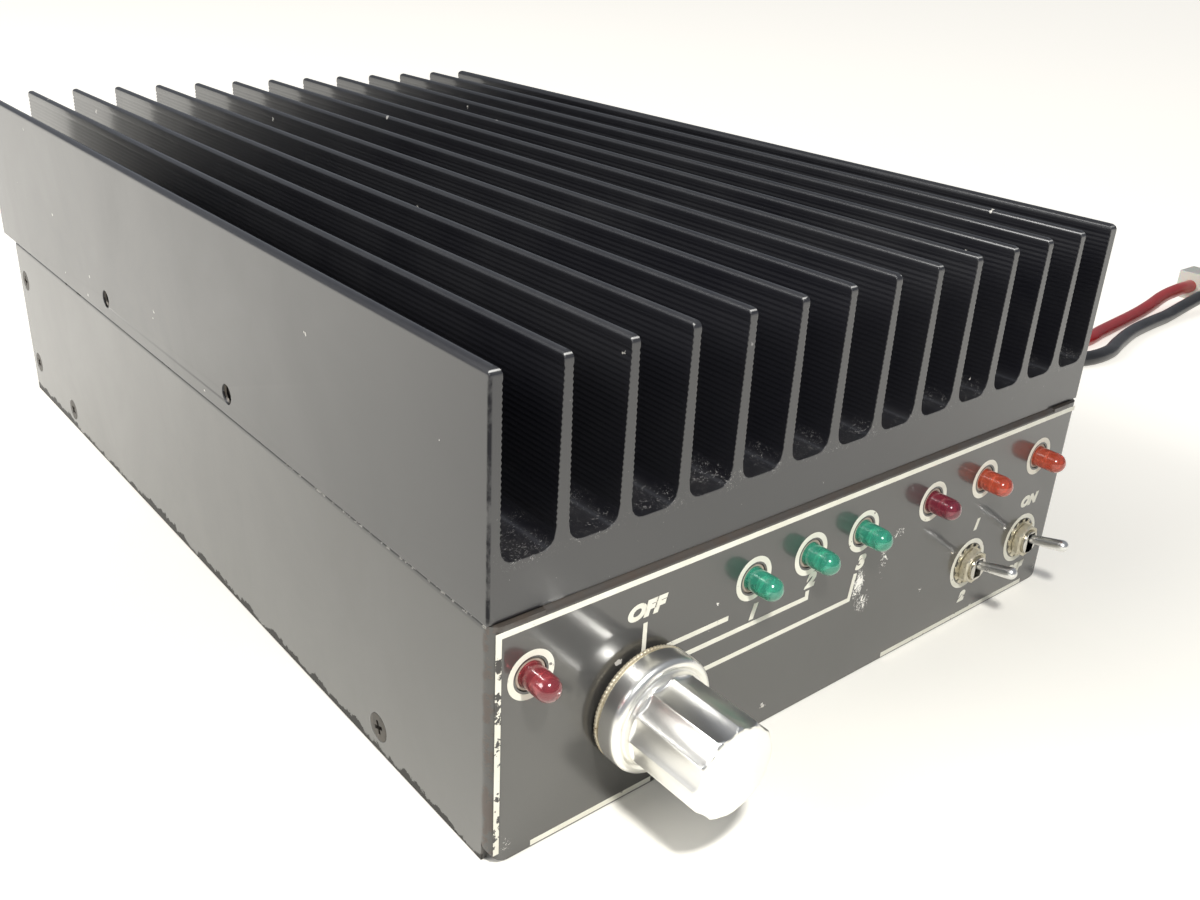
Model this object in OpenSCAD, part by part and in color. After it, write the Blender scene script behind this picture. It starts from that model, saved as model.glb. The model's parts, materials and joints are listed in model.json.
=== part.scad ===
// Desk-top HF linear amplifier: a finned heatsink on top of a low steel case, with the front panel's
// selector knob, seven indicator lamps, two toggle switches, rear sockets and a short pair of supply cords.
// The origin is the centre of the case's bottom face. The front faces -Y and up is +Z.

/* [Heatsink] */
// How far the heatsink stands past each side of the case
sink_over = 0.3; // [0:0.1:1.5]
// How far the heatsink stands past the case at the back
sink_back_over = 11.5; // [6:0.5:20]
// Thickness of the heatsink's base
sink_base_t = 10.5; // [9:0.5:14]
// Height of the fins above the base
fin_h = 34.2; // [25:0.2:42]
// Number of fins, the outer pair included
fin_count = 14; // [11:1:15]
// Thickness of an inner fin at its tip
fin_tip_t = 1.8; // [1.4:0.1:2.2]
// Thickness of an inner fin at its root
fin_root_t = 3; // [2.4:0.1:3.6]
// Thickness of the two outer fins
outer_fin_t = 2.5; // [2:0.1:3.5]
// Radius where a fin meets the channel floor
channel_r = 2.8; // [1:0.1:3]
// Spacing of the fine ridges on the fins' flanks
ridge_pitch = 1.05; // [0.9:0.05:1.6]
// Depth of the grooves between those ridges
ridge_depth = 0.2; // [0.1:0.05:0.45]
// Smooth band left at the top of each flank
flank_smooth_h = 2.2; // [1.5:0.1:4]
// Rounding of the fins' top corners at the front and back
fin_corner_r = 1.6; // [0.5:0.1:3]
// Distance between the two bracket holes in each side
bracket_hole_span = 79; // [60:1:100]
// Diameter of the bracket holes
bracket_hole_d = 4.8; // [4:0.1:5.5]
// Depth of the bracket holes
bracket_hole_depth = 14; // [8:1:20]

/* [Case] */
// Width of the case over its side walls
case_w = 179.4; // [174:0.2:188]
// Depth of the case from the front sheet to the back edge
case_d = 272; // [264:0.5:280]
// Height of the case up to the heatsink
case_h = 51.5; // [50:0.5:58]
// Thickness of the case sheet
sheet_t = 1.2; // [0.8:0.1:1.6]
// Outer radius of the upright bends at the front
bend_r = 2.6; // [2:0.1:4]
// Outer radius of the folds along the sheet edges
fold_r = 1.6; // [1.6:0.1:2.2]
// Width of the flanges that carry the heatsink
flange_w = 10; // [8:0.5:12]
// Height of the bottom cover's upturned flanges
cover_flange_h = 11; // [9:0.5:14]
// Depth of the rear panel's side flanges
rear_flange_w = 11; // [9:0.5:14]
// Distance of the side screws in the bottom cover from the middle
cover_screw_y = 96.5; // [80:0.5:104]
// Height of those screws
cover_screw_z = 6.2; // [5:0.1:7]
// Heights of the lower screws of the rear panel
rear_screw_low_z = 11.3; // [8:0.1:16]
// Heights of the upper screws of the rear panel
rear_screw_high_z = 39.5; // [32:0.5:43]

/* [Front panel] */
// Radius of the front's lower corners
front_corner_r = 4.5; // [2:0.5:8]
// Height of the row of lamps
lamp_z = 39.2; // [38.6:0.1:41]
// Diameter of the lamp holes
lamp_hole_d = 6.6; // [6.2:0.1:7.2]
// Diameter of a lamp's body
lamp_d = 5; // [4.5:0.1:5.2]
// How far a lamp stands out of the panel
lamp_reach = 7.2; // [6:0.1:8.5]
// Height of the toggle switches
toggle_z = 16; // [14:0.5:20]

/* [Selector] */
// Distance of the knob's axis from the case's left side
knob_in = 34.2; // [31:0.1:36]
// Height of the knob's axis
knob_z = 22.5; // [21:0.5:22.5]
// Diameter of the knob's collar
collar_d = 24.4; // [22:0.2:26]
// Length of the collar
collar_l = 6.2; // [5:0.1:8]
// Diameter of the fluted body
grip_d = 19.4; // [17:0.2:21]
// Length of the whole knob
knob_l = 24.8; // [22:0.2:30]
// Number of flutes
flute_count = 12; // [8:1:16]
// Depth of the flutes
flute_depth = 0.7; // [0.4:0.05:0.9]
// Gap between the knob and the panel
knob_gap = 0.8; // [0.6:0.1:1.5]
// Diameter of the selector's shaft
shaft_d = 6; // [5:0.5:6.5]
// Diameter of the selector's housing
selector_d = 27; // [22:0.5:27]
// Angle between two switch positions
detent_step = 30; // [20:1:30]

/* [Toggle switches] */
// Diameter of the threaded bush
bush_d = 6; // [5.6:0.1:6.3]
// Width of the hexagon nut across its flats
nut_af = 8; // [7.6:0.1:8.6]
// Thickness of that nut
nut_t = 2; // [1.6:0.1:2.4]
// Thickness of the toothed washer
washer_t = 0.6; // [0.5:0.1:0.9]
// Distance of the lever's tip from its pivot
lever_l = 15; // [13:0.1:17]
// Diameter of the lever at its tip
lever_tip_d = 3; // [2.8:0.1:3.4]
// Diameter of the lever where it leaves the bush
lever_neck_d = 2.3; // [1.9:0.1:2.4]
// Lean of the lever from the middle
lever_lean = 12.5; // [10:0.5:12.5]

/* [Rear panel] */
// Distance between the two coaxial sockets
socket_span = 44; // [40:1:50]
// Height of the coaxial sockets
socket_z = 26; // [24:0.5:28]
// Diameter of a socket's threaded barrel
socket_barrel_d = 15.8; // [15:0.1:16]
// Side of a socket's square flange
socket_flange_w = 25.4; // [24:0.1:26]
// Diameter of the supply cords
cord_d = 6; // [5:0.5:6]

/* [Inside] */
// Thickness of the circuit boards
board_t = 1.6; // [1.2:0.1:2]
// Length of the pillars between heatsink and boards
pillar_h = 8; // [7.5:0.5:9]
// Room beside both circuit boards, left and right together
board_room = 49.4; // [46:0.2:60]
// Depth of the power board
power_board_d = 120; // [114:1:124]
// Depth of the filter board
filter_board_d = 60; // [56:1:64]

/* [Hidden] */
$fn = 48;
eps = 0.01;

// Clearances
fit = 0.2;          // sheet beside sheet
bore_fit = 0.05;    // radial, around a shaft, pin or screw
pivot_fit = 0.03;   // radial, around a lever's cross pin
wrap_z = 0.2;       // the wrap's lower edge stands this far above the bottom cover's face
seam = 0.3;         // between the heatsink and the sheet's edge at the front corners

// Case levels
half_w = case_w / 2;
front_y = -case_d / 2;
back_y = case_d / 2;
inner_w = case_w - 2 * (sheet_t + fit);
rear_y = back_y - sheet_t;
floor_z = sheet_t;
cover_front_y = front_y + sheet_t + fit;
cover_back_y = rear_y - fit;
cover_flange_y0 = front_y + bend_r + 8;
cover_flange_y1 = rear_y - rear_flange_w - 2;

// Heatsink
sink_step = 1;      // the heatsink's front stands this far behind the panel's face
sink_y = front_y + sink_step;
sink_w = case_w + 2 * sink_over;
sink_l = case_d - sink_step + sink_back_over;
sink_h = sink_base_t + fin_h;
fin_pitch = (sink_w - outer_fin_t) / (fin_count - 1);
ridge_count = floor((fin_h - flank_smooth_h - channel_r) / ridge_pitch) - 1;
tip_steps = 6;
root_steps = 4;
bracket_z = case_h + sink_base_t / 2;

// Screws
m3_d = 3;
m3_head_d = 5.6;
m3_head_h = 2.2;
csk_head_d = 6.2;
csk_head_h = 1.7;
csk_rim = 0.15;     // countersink's extra radius around the head
recess_w = 0.8;
recess_deep = 1;
sink_screw_l = 7;
flange_screw_in = flange_w / 2 + 0.8;
side_flange_ys = [for (k = [-1, 0, 1]) k * case_d * 0.36];
front_flange_xs = [-38, 38];
rear_flange_xs = [-60, 0, 60];
rear_top_flange_w = 10;

// Lamps: the first and the last keep their distance from the sides, the others share the width
lamp_end_in = 8.2;
lamp_shares = [-0.15, -0.0552, 0.0401, 0.1778, 0.2926];
lamp_xs = concat([-half_w + lamp_end_in], [for (s = lamp_shares) s * case_w], [half_w - 14]);
lamp_rim_d = 5.8;
lamp_rim_t = 1;
lamp_body_l = 8.6;
lamp_board_z = 4;      // half height of the lamp board, upwards from the lamps
lamp_board_low = 2.6;
lamp_board_gap = 6;    // from the front sheet
lamp_board_in = 5.7;   // from the case's outer side
lamp_board_w = case_w - 2 * lamp_board_in;
lamp_pillar_shares = [-0.379, -0.223, 0.106, 0.357];
lamp_back_y = front_y - lamp_reach + lamp_body_l;
lamp_board_y = front_y + sheet_t + lamp_board_gap;
lead_w = 0.5;
lead_hole_w = lead_w + 2 * bore_fit;
lead_span = 2.54;

// Toggle switches
toggle_xs = [0.2921 * case_w, half_w - 14.3];
toggle_body = [8, 10, 13];
pivot_in = 1.5;        // the lever's pivot, behind the panel's face
pivot_y = front_y + pivot_in;
toggle_hole_d = bush_d + 0.4;
washer_d = 10.6;
bush_end = washer_t + nut_t + 0.7;
slot_w = 2.8;
slot_h = 4.7;
lever_ball_d = 2.7;
pivot_pin_d = 1.2;
pivot_pin_l = 4.6;
tooth_count = 12;
toggle_tag_size = [0.8, 4, 1.6];
toggle_tag_span = 4.8;
toggle_tag_pitch = 4.7;

// Selector
knob_x = -half_w + knob_in;
thread_d = 9;
thread_hole_d = thread_d + 0.4;
selector_l = 14;
selector_nut_af = 12;
selector_nut_t = 1.8;
selector_washer_t = 0.5;
thread_reach = selector_washer_t + selector_nut_t + 0.5;
knob_back_y = front_y - knob_gap;
knob_front_y = knob_back_y - knob_l;
nut_pocket_d = 16;
nut_pocket_l = thread_reach - knob_gap + 0.6;
shaft_in_knob = knob_l - 7;
rim_l = 0.8;         // thin rim at the knob's back
groove_l = 0.5;      // narrow groove before the collar
groove_step = 0.6;
grub_d = 3;
grub_z = collar_l - 2.4;
flute_r = 8;
face_dish = 0.3;       // the collar's front face slopes in towards the grip
shaft_inside = 9;
shaft_end_gap = 0.2;
selector_washer_d = 13.4;
tag_size = [0.4, 5, 1.6];
tag_count = 12;

// Rear panel, from its middle
socket_x = -42;
socket_xs = [socket_x - socket_span / 2, socket_x + socket_span / 2];
socket_screw_span = 18.3;
socket_screw_l = 6;
socket_flange_t = 1.6;
socket_barrel_l = 12;
socket_hole_d = socket_barrel_d + 0.4;
socket_bore = 11.4;
socket_floor = 2;      // between the flange and the bore's bottom
socket_tail_l = 7;     // behind the panel's outer face
contact_d = 5.6;
contact_in = 12;
contact_out = 10;
contact_bore = 4;
contact_bore_l = 8;
solder_pot_d = 2.6;
solder_pot_l = 4;
jack_x = 12;
jack_z = 34;
jack_thread_d = 8;
jack_bore = 3.6;
jack_flange_d = 12;
jack_flange_t = 1.6;
jack_barrel_d = 8.3;
jack_barrel_l = 9;
jack_nut_d = 11;
jack_nut_t = 2;
stud_d = 5;
stud_in = 5;
stud_out = 15;
stud_head_d = 9;
stud_head_t = 3;
cord_bush_d = cord_d + 5;
stud_x = 12;
stud_z = 13;
bush_xs = [50, 66];
cord_z = 24;
bush_reach = 13.8;
cord_sides = 10;

// Boards hang under the heatsink on pillars
board_z = case_h - pillar_h - board_t;
board_w = case_w - board_room;
filter_back = 53;      // the filter board's middle, from the case's back edge
board_between = 13;    // between the two boards
filter_board_y = back_y - filter_back;
power_board_y = filter_board_y - (filter_board_d + power_board_d) / 2 - board_between;
board_x = -8;
pillar_d = 6;
board_hole_in = 5;
transistor_pitch = 0.23 * board_w;
transistor_xs = [for (k = [0 : 3]) board_x + (k - 1.5) * transistor_pitch];
transistor_y = power_board_y;
flange_len = 24.8;
transistor_hole_span = 18.4;
thermal_x = board_x + board_w / 2 + 14;
thermal_y = power_board_y;
thermal_span = 16;
thermal_w = 7;
thermal_flange_t = 1.2;
thermal_d = 10;
thermal_h = 8;
terminal_size = [13, 27, 16];
terminal_hole_d = 6;
terminal_hole_deep = 4;
transistor_flange = [6.4, flange_len, 2];
transistor_cap_d = 10;
transistor_cap_h = 6;
transistor_strip = [15, 5.6, 0.4];
transistor_slot_w = 16;
choke = [28, 13, 13];      // outer diameter, bore, height
choke_in = [23, 20];       // from the board's right and front edges
choke_at = [board_w / 2 - choke_in[0], choke_in[1] - power_board_d / 2];
toroid = [21, 11, 10];
toroid_in = 19;            // from the board's left edge
toroid_pitch = 26;
toroid_at = [for (k = [0 : 2]) toroid_in - board_w / 2 + k * toroid_pitch];
capacitor_d = 12;
capacitor_l = 20;
capacitor_in = [15, 16];   // from the board's left and front edges
capacitor_pitch = 14;
capacitor_at = [for (k = [0 : 2]) capacitor_in[0] - board_w / 2 + k * capacitor_pitch];
capacitor_y = capacitor_in[1] - power_board_d / 2;
relay_size = [29, 16, 18];
relay_in = 8;              // from the board's right edge
relay_x = board_w / 2 - relay_in - relay_size[0];
relay_gap = 12;
output_sleeve = [36, 16, 30];    // place along the board, diameter, length
input_sleeve = [-36, 9, 20];
end_plate_t = 1.6;
terminal_x = board_x + board_w / 2 + 4;
terminal_back = 41;    // the terminals' front edge, from the case's back edge
terminal_y = back_y - terminal_back;

// Route of each cord, from its bush to the connector; both move with the case's back edge
drawn_back_y = 136;
cord_shift = [0, back_y - drawn_back_y, 0];
connector_x = 392;
connector_y = -38 + cord_shift[1];
contact_half_span = 6;
contact_ys = [connector_y - contact_half_span, connector_y + contact_half_span];
connector_l = 33;
connector_w = 25;
connector_h = 13;
contact_hole = [12, 6.8, 6];
cord_lie_z = cord_d / 2;
connector_z = connector_h / 2;
black_route = [
    [66, drawn_back_y + bush_reach, 24], [66, 164, 24], [67, 180, 20], [71, 195, 12], [80, 207, 5],
    [94, 215, 3], [111, 216, 3], [127, 209, 3], [140, 196, 3], [150, 180, 3], [158, 162, 3],
    [165, 143, 3], [172, 124, 3], [179, 105, 3], [185, 86, 3], [191, 67, 3], [197, 48, 3],
    [203, 29, 3], [209, 10, 3], [216, -9, 3], [225, -27, 3], [237, -42, 3], [252, -53, 3],
    [270, -56, 3], [288, -52, 3], [306, -48, 3], [324, -46, 3], [342, -45, 3], [361, -44, 4.5],
    [377, -44, 6.5], [connector_x, -44, 6.5]];
red_route = [[50, drawn_back_y + bush_reach, 24], [50, 164, 24], [50, 181, 21], [53, 197, 14], [61, 212, 7],
    [74, 223, 3], [92, 229, 3], [111, 229, 3], [129, 222, 3], [144, 210, 3], [156, 195, 3],
    [166, 178, 3], [174, 160, 3], [181, 141, 3], [187, 122, 3], [193, 103, 3], [199, 84, 3],
    [205, 65, 3], [211, 46, 3], [217, 27, 3], [224, 8, 3], [232, -10, 3], [243, -26, 3],
    [258, -37, 3], [277, -42, 3], [295, -40, 3], [313, -38, 3], [332, -36, 3.2], [350, -34, 4.2],
    [366, -32, 5.6], [379, -32, 6.5], [connector_x, -32, 6.5]];

// ---- Shared shapes ----

// A cylinder that runs towards +Y from the given point
module y_rod(d, l, at) {
    translate(at) rotate([-90, 0, 0]) cylinder(h = l, d = d);
}

// A cylinder that runs towards +X from the given point
module x_rod(d, l, at) {
    translate(at) rotate([0, 90, 0]) cylinder(h = l, d = d);
}

// A block given by its lowest corner and size
module block(at, size) {
    translate(at) cube(size);
}

// Points of an arc, both ends included
function arc(c, r, a0, a1, steps) =
    [for (k = [0 : steps]) c + r * [cos(a0 + (a1 - a0) * k / steps), sin(a0 + (a1 - a0) * k / steps)]];

// Pan-head screw: the head stands above z = 0 and the shank runs down
module pan_screw(l) {
    difference() {
        union() {
            translate([0, 0, -l]) cylinder(h = l + eps, d = m3_d);
            cylinder(h = m3_head_h * 0.6, d = m3_head_d);
            translate([0, 0, m3_head_h * 0.6])
                cylinder(h = m3_head_h * 0.4, d1 = m3_head_d, d2 = m3_head_d * 0.72);
        }
        cross_recess(m3_head_h);
    }
}

// Countersunk screw: the head's face lies at z = 0 and the shank runs down
module csk_screw(l) {
    difference() {
        union() {
            translate([0, 0, -l]) cylinder(h = l - csk_head_h + eps, d = m3_d);
            translate([0, 0, -csk_head_h]) cylinder(h = csk_head_h, d1 = m3_d, d2 = csk_head_d);
        }
        cross_recess(0);
    }
}

module cross_recess(top) {
    for (a = [0, 90]) rotate([0, 0, a])
        translate([-m3_d / 2, -recess_w / 2, top - recess_deep]) cube([m3_d, recess_w, 2 * recess_deep]);
}

// Hole for a countersunk screw, with its face at z = 0
module csk_hole() {
    translate([0, 0, -10]) cylinder(h = 11, d = m3_d + 2 * fit);
    csk_cone();
}

module csk_cone() {
    translate([0, 0, -csk_head_h])
        cylinder(h = csk_head_h + eps, d1 = m3_d + 2 * csk_rim, d2 = csk_head_d + 2 * csk_rim);
}

// Hole for the same screw in the flange behind the sheet
module flange_screw_hole() {
    csk_cone();
    translate([0, 0, -8]) cylinder(h = 8, d = m3_d + 2 * bore_fit);
}

// ---- Heatsink ----

function fin_x(i) = -sink_w / 2 + outer_fin_t / 2 + i * fin_pitch;
function is_outer(i) = i == 0 || i == fin_count - 1;
function tip_half(i) = is_outer(i) ? outer_fin_t / 2 : fin_tip_t / 2;
function root_half(i) = is_outer(i) ? outer_fin_t / 2 : fin_root_t / 2;
function half_at(i, z) = root_half(i) + (tip_half(i) - root_half(i)) * (z - sink_base_t) / fin_h;

// Ridged flank of a fin from top to bottom, side = 1 for its right face
function flank(i, side) = [for (k = [0 : ridge_count], low = [0, 1])
    let (z = sink_h - flank_smooth_h - (k + low / 2) * ridge_pitch)
    [fin_x(i) + side * (half_at(i, z) - low * ridge_depth), z]];
function reversed(p) = [for (k = [len(p) - 1 : -1 : 0]) p[k]];
function root_centre(i, side) =
    [fin_x(i) + side * (half_at(i, sink_base_t + channel_r) + channel_r), sink_base_t + channel_r];
function root_left(i) = arc(root_centre(i, 1), channel_r, 180, 270, root_steps);
function root_right(i) = arc(root_centre(i, -1), channel_r, 270, 360, root_steps);
function tip(i) = arc([fin_x(i), sink_h - tip_half(i)], tip_half(i), 180, 0, tip_steps);
function channel(i) = concat(
    tip(i), flank(i, 1), root_left(i), root_right(i + 1), reversed(flank(i + 1, -1)));
function sink_outline() = concat([[-sink_w / 2, 0]],
    [for (i = [0 : fin_count - 2]) each channel(i)], tip(fin_count - 1), [[sink_w / 2, 0]]);

// Strip that rounds the fins' top corners at one end
module fin_end_cutter() {
    r = fin_corner_r;
    translate([-sink_w / 2 - 1, 0, sink_h - r]) rotate([90, 0, 90]) linear_extrude(sink_w + 2)
        polygon(concat([[-1, r + 1], [-1, 0]], arc([r, 0], r, 180, 90, 5), [[r, r + 1]]));
}

module board_pillar_places() {
    for (b = [[power_board_y, power_board_d], [filter_board_y, filter_board_d]], sx = [-1, 1], sy = [-1, 1])
        translate([board_x + sx * (board_w / 2 - board_hole_in), b[0] + sy * (b[1] / 2 - board_hole_in),
            case_h]) children();
}

module transistor_screw_places() {
    for (x = transistor_xs, s = [-1, 1])
        translate([x, transistor_y + s * transistor_hole_span / 2, case_h]) children();
}

module heatsink() {
    color([0.05, 0.05, 0.055])
    difference() {
        translate([0, sink_y + sink_l, case_h]) rotate([90, 0, 0])
            linear_extrude(sink_l) polygon(sink_outline());
        translate([0, sink_y, case_h]) fin_end_cutter();
        translate([0, sink_y + sink_l, case_h]) mirror([0, 1, 0]) fin_end_cutter();
        for (x = [-sink_w / 2 - 1, sink_w / 2 - bracket_hole_depth], s = [-1, 1])
            x_rod(bracket_hole_d, bracket_hole_depth + 1,
                [x, sink_y + sink_l / 2 + s * bracket_hole_span / 2, bracket_z]);
        wrap_flange_places() tapped_hole();
        rear_flange_places() tapped_hole();
        board_pillar_places() tapped_hole();
        transistor_screw_places() tapped_hole();
        thermal_screw_places() tapped_hole();
    }
}

module tapped_hole() {
    translate([0, 0, -1]) cylinder(h = sink_screw_l + 1, d = m3_d + 2 * bore_fit);
}

module thermal_screw_places() {
    for (s = [-1, 1]) translate([thermal_x, thermal_y + s * thermal_span / 2, case_h]) children();
}

// ---- Case ----

// Section of a wall with a rounded fold and an inward flange at its top
function fold_section(low, high, flange) = concat(
    [[0, low]], arc([fold_r, high - fold_r], fold_r, 180, 90, 5),
    [[flange, high], [flange, high - sheet_t], [sheet_t, high - sheet_t], [sheet_t, low]]);

module side_wall() {
    translate([-half_w, back_y, 0]) rotate([90, 0, 0]) linear_extrude(case_d - bend_r)
        polygon(fold_section(wrap_z, case_h, flange_w));
}

module front_wall() {
    flange_half = half_w - flange_w - 1;
    block([-half_w + bend_r, front_y, wrap_z], [case_w - 2 * bend_r, sheet_t, case_h - fold_r - wrap_z]);
    // the sheet stands up to the heatsink beside the folded flange
    for (x = [-half_w + bend_r, flange_half]) block([x, front_y, wrap_z],
        [half_w - bend_r - flange_half, sheet_t, case_h - seam - wrap_z]);
    translate([-flange_half, front_y, 0]) rotate([90, 0, 90]) linear_extrude(2 * flange_half)
        polygon(fold_section(wrap_z, case_h, flange_w));
}

module front_bend() {
    at = [-half_w + bend_r, front_y + bend_r, wrap_z];
    difference() {
        translate(at) cylinder(h = case_h - seam - wrap_z, r = bend_r);
        translate(at - [0, 0, 1]) cylinder(h = case_h + 2, r = bend_r - sheet_t);
        block([-half_w + bend_r, front_y - 1, 0], [bend_r + 1, 2 * bend_r + 2, case_h + 1]);
        block([-half_w - 1, front_y + bend_r, 0], [bend_r + 2, bend_r + 1, case_h + 1]);
    }
}

// Rounds a lower corner of the front
module front_corner_cutter() {
    r = front_corner_r;
    difference() {
        block([-half_w - 1, front_y - 1, wrap_z - 1], [r + 1, bend_r + 1, r + 1]);
        y_rod(2 * r, bend_r + 4, [-half_w + r, front_y - 2, wrap_z + r]);
    }
}

// Holes in the front for the lamps and switches
module front_holes(y, depth) {
    for (x = lamp_xs) y_rod(lamp_hole_d, depth, [x, y, lamp_z]);
    for (x = toggle_xs) y_rod(toggle_hole_d, depth, [x, y, toggle_z]);
    y_rod(thread_hole_d, depth, [knob_x, y, knob_z]);
}

// Where screws go up through the wrap's flanges, on the heatsink's underside
module wrap_flange_places() {
    for (side = [-1, 1], y = side_flange_ys)
        translate([side * (half_w - flange_screw_in), y, case_h]) children();
    for (x = front_flange_xs) translate([x, front_y + flange_screw_in, case_h]) children();
}

module rear_flange_places() {
    for (x = rear_flange_xs) translate([x, rear_y - rear_top_flange_w / 2, case_h]) children();
}

module flange_hole() {
    translate([0, 0, -2 * sheet_t]) cylinder(h = 3 * sheet_t, d = m3_d + 2 * fit);
}

module side_screw_places() {
    rear_screw_y = rear_y - rear_flange_w / 2 + 1;
    for (side = [-1, 1], at = [[-cover_screw_y, cover_screw_z], [cover_screw_y, cover_screw_z],
        [rear_screw_y, rear_screw_low_z], [rear_screw_y, rear_screw_high_z]])
        translate([side * half_w, at[0], at[1]]) rotate([0, side * 90, 0]) children();
}

module case_wrap() {
    color([0.09, 0.09, 0.09])
    difference() {
        union() {
            side_wall();
            mirror([1, 0, 0]) side_wall();
            front_wall();
            front_bend();
            mirror([1, 0, 0]) front_bend();
        }
        front_holes(front_y - 1, sheet_t + 2);
        front_corner_cutter();
        mirror([1, 0, 0]) front_corner_cutter();
        side_screw_places() csk_hole();
        wrap_flange_places() flange_hole();
    }
}

module rear_panel() {
    low = floor_z + fit;
    high = case_h;
    color([0.09, 0.09, 0.09])
    difference() {
        union() {
            block([-inner_w / 2, rear_y, low], [inner_w, sheet_t, high - fold_r - low]);
            // top flange
            top_half = inner_w / 2 - flange_w - 1;
            translate([top_half, back_y, 0]) rotate([90, 0, -90]) linear_extrude(2 * top_half)
                polygon(fold_section(low, high, rear_top_flange_w + sheet_t));
            // side flanges
            for (x = [-inner_w / 2, inner_w / 2 - sheet_t]) block([x, rear_y - rear_flange_w, low],
                [sheet_t, rear_flange_w + eps, high - 2 * sheet_t - low]);
        }
        for (x = socket_xs) {
            y_rod(socket_hole_d, sheet_t + 2, [x, rear_y - 1, socket_z]);
            for (sx = [-1, 1], sz = [-1, 1])
                y_rod(m3_d + 2 * bore_fit, sheet_t + 2,
                    [x + sx * socket_screw_span / 2, rear_y - 1, socket_z + sz * socket_screw_span / 2]);
        }
        y_rod(jack_thread_d + 2 * fit, sheet_t + 2, [jack_x, rear_y - 1, jack_z]);
        y_rod(stud_d + 2 * bore_fit, sheet_t + 2, [stud_x, rear_y - 1, stud_z]);
        for (x = bush_xs) y_rod(cord_bush_d + 2 * bore_fit, sheet_t + 2, [x, rear_y - 1, cord_z]);
        rear_flange_places() flange_hole();
        side_screw_places() flange_screw_hole();
    }
}

module cover_side() {
    translate([-inner_w / 2, cover_flange_y1, 0]) rotate([90, 0, 0])
        linear_extrude(cover_flange_y1 - cover_flange_y0)
        polygon(concat(arc([fold_r, fold_r], fold_r, 180, 270, 5), [[flange_w, 0], [flange_w, sheet_t],
            [sheet_t, sheet_t], [sheet_t, cover_flange_h], [0, cover_flange_h]]));
}

module bottom_cover() {
    color([0.09, 0.09, 0.09])
    difference() {
        union() {
            block([-inner_w / 2 + fold_r, cover_front_y, 0],
                [inner_w - 2 * fold_r, cover_back_y - cover_front_y, sheet_t]);
            cover_side();
            mirror([1, 0, 0]) cover_side();
        }
        side_screw_places() flange_screw_hole();
    }
}

module side_screws() {
    color([0.12, 0.11, 0.1]) side_screw_places() csk_screw(5.5);
}

// Screw into the heatsink's underside, through something that is this thick
module screw_up(t) {
    translate([0, 0, -t]) mirror([0, 0, 1]) pan_screw(sink_screw_l);
}

// Screws that hold the case's flanges up against the heatsink
module heatsink_screws() {
    color("silver") wrap_flange_places() screw_up(sheet_t);
}

module rear_flange_screws() {
    color("silver") rear_flange_places() screw_up(sheet_t);
}

// ---- Selector ----

module knob_place() {
    translate([knob_x, knob_back_y, knob_z]) rotate([90, 0, 0]) children();
}

// Section of the turned knob: radius against the distance from its back
function knob_section() = let (rc = collar_d / 2, rg = grip_d / 2, g = rim_l + groove_l) concat(
    [[0, 0], [rc - 0.3, 0], [rc, 0.3], [rc, rim_l], [rc - groove_step, rim_l]],
    [[rc - groove_step, g], [rc, g + 0.2], [rc, collar_l - 2.2]],
    arc([rc - 1.4, collar_l - 1.4], 1.4, 0, 90, 4),
    [[rg + 0.4, collar_l - face_dish], [rg, collar_l - face_dish + 0.3], [rg, knob_l - 0.9]],
    [[rg - 0.9, knob_l], [0, knob_l]]);

module power_knob() {
    reach = grip_d / 2 - flute_depth + flute_r;
    color([0.8, 0.79, 0.76])
    knob_place() difference() {
        rotate_extrude() polygon(knob_section());
        for (k = [0 : flute_count - 1]) rotate([0, 0, (k + 0.5) * 360 / flute_count])
            translate([reach, 0, collar_l + 1.2]) cylinder(h = knob_l, r = flute_r);
        translate([0, 0, -1]) cylinder(h = shaft_in_knob + 1.5, d = shaft_d + 2 * bore_fit);
        translate([0, 0, -1]) cylinder(h = nut_pocket_l + 1, d = nut_pocket_d);
        grub_place() translate([0, 0, -1]) cylinder(h = collar_d, d = grub_d + 2 * bore_fit);
    }
}

// The grub screw's axis points down and to the right at the off position
module grub_place() {
    translate([0, 0, grub_z]) rotate([0, 0, -60]) rotate([0, 90, 0])
        translate([0, 0, shaft_d / 2]) children();
}

module knob_grub_screw() {
    color([0.2, 0.2, 0.2])
    knob_place() grub_place() difference() {
        translate([0, 0, bore_fit]) cylinder(h = 6, d = grub_d);
        translate([0, 0, 4.6]) cylinder(h = 2, d = 1.5, $fn = 6);
    }
}

module selector_shaft() {
    color("silver")
    y_rod(shaft_d, shaft_in_knob + knob_gap + sheet_t + shaft_inside,
        [knob_x, knob_back_y - shaft_in_knob, knob_z]);
}

module selector_switch() {
    seat_y = front_y + sheet_t;
    bore_l = thread_reach + sheet_t + shaft_inside + shaft_end_gap + 1;
    color([0.55, 0.45, 0.25])
    difference() {
        union() {
            y_rod(thread_d, thread_reach + sheet_t + 1, [knob_x, front_y - thread_reach, knob_z]);
            y_rod(selector_d, selector_l, [knob_x, seat_y, knob_z]);
            y_rod(selector_d - 6, selector_l + 4, [knob_x, seat_y, knob_z]);
        }
        y_rod(shaft_d + 2 * bore_fit, bore_l, [knob_x, front_y - thread_reach - 1, knob_z]);
    }
}

module hex_nut(af, bore, t, at) {
    translate(at) rotate([90, 0, 0]) difference() {
        rotate([0, 0, 30]) cylinder(h = t, d = af / cos(30), $fn = 6);
        translate([0, 0, -1]) cylinder(h = t + 2, d = bore);
    }
}

module selector_nut() {
    color("silver") hex_nut(selector_nut_af, thread_d + 2 * bore_fit, selector_nut_t,
        [knob_x, front_y - selector_washer_t, knob_z]);
}

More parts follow.
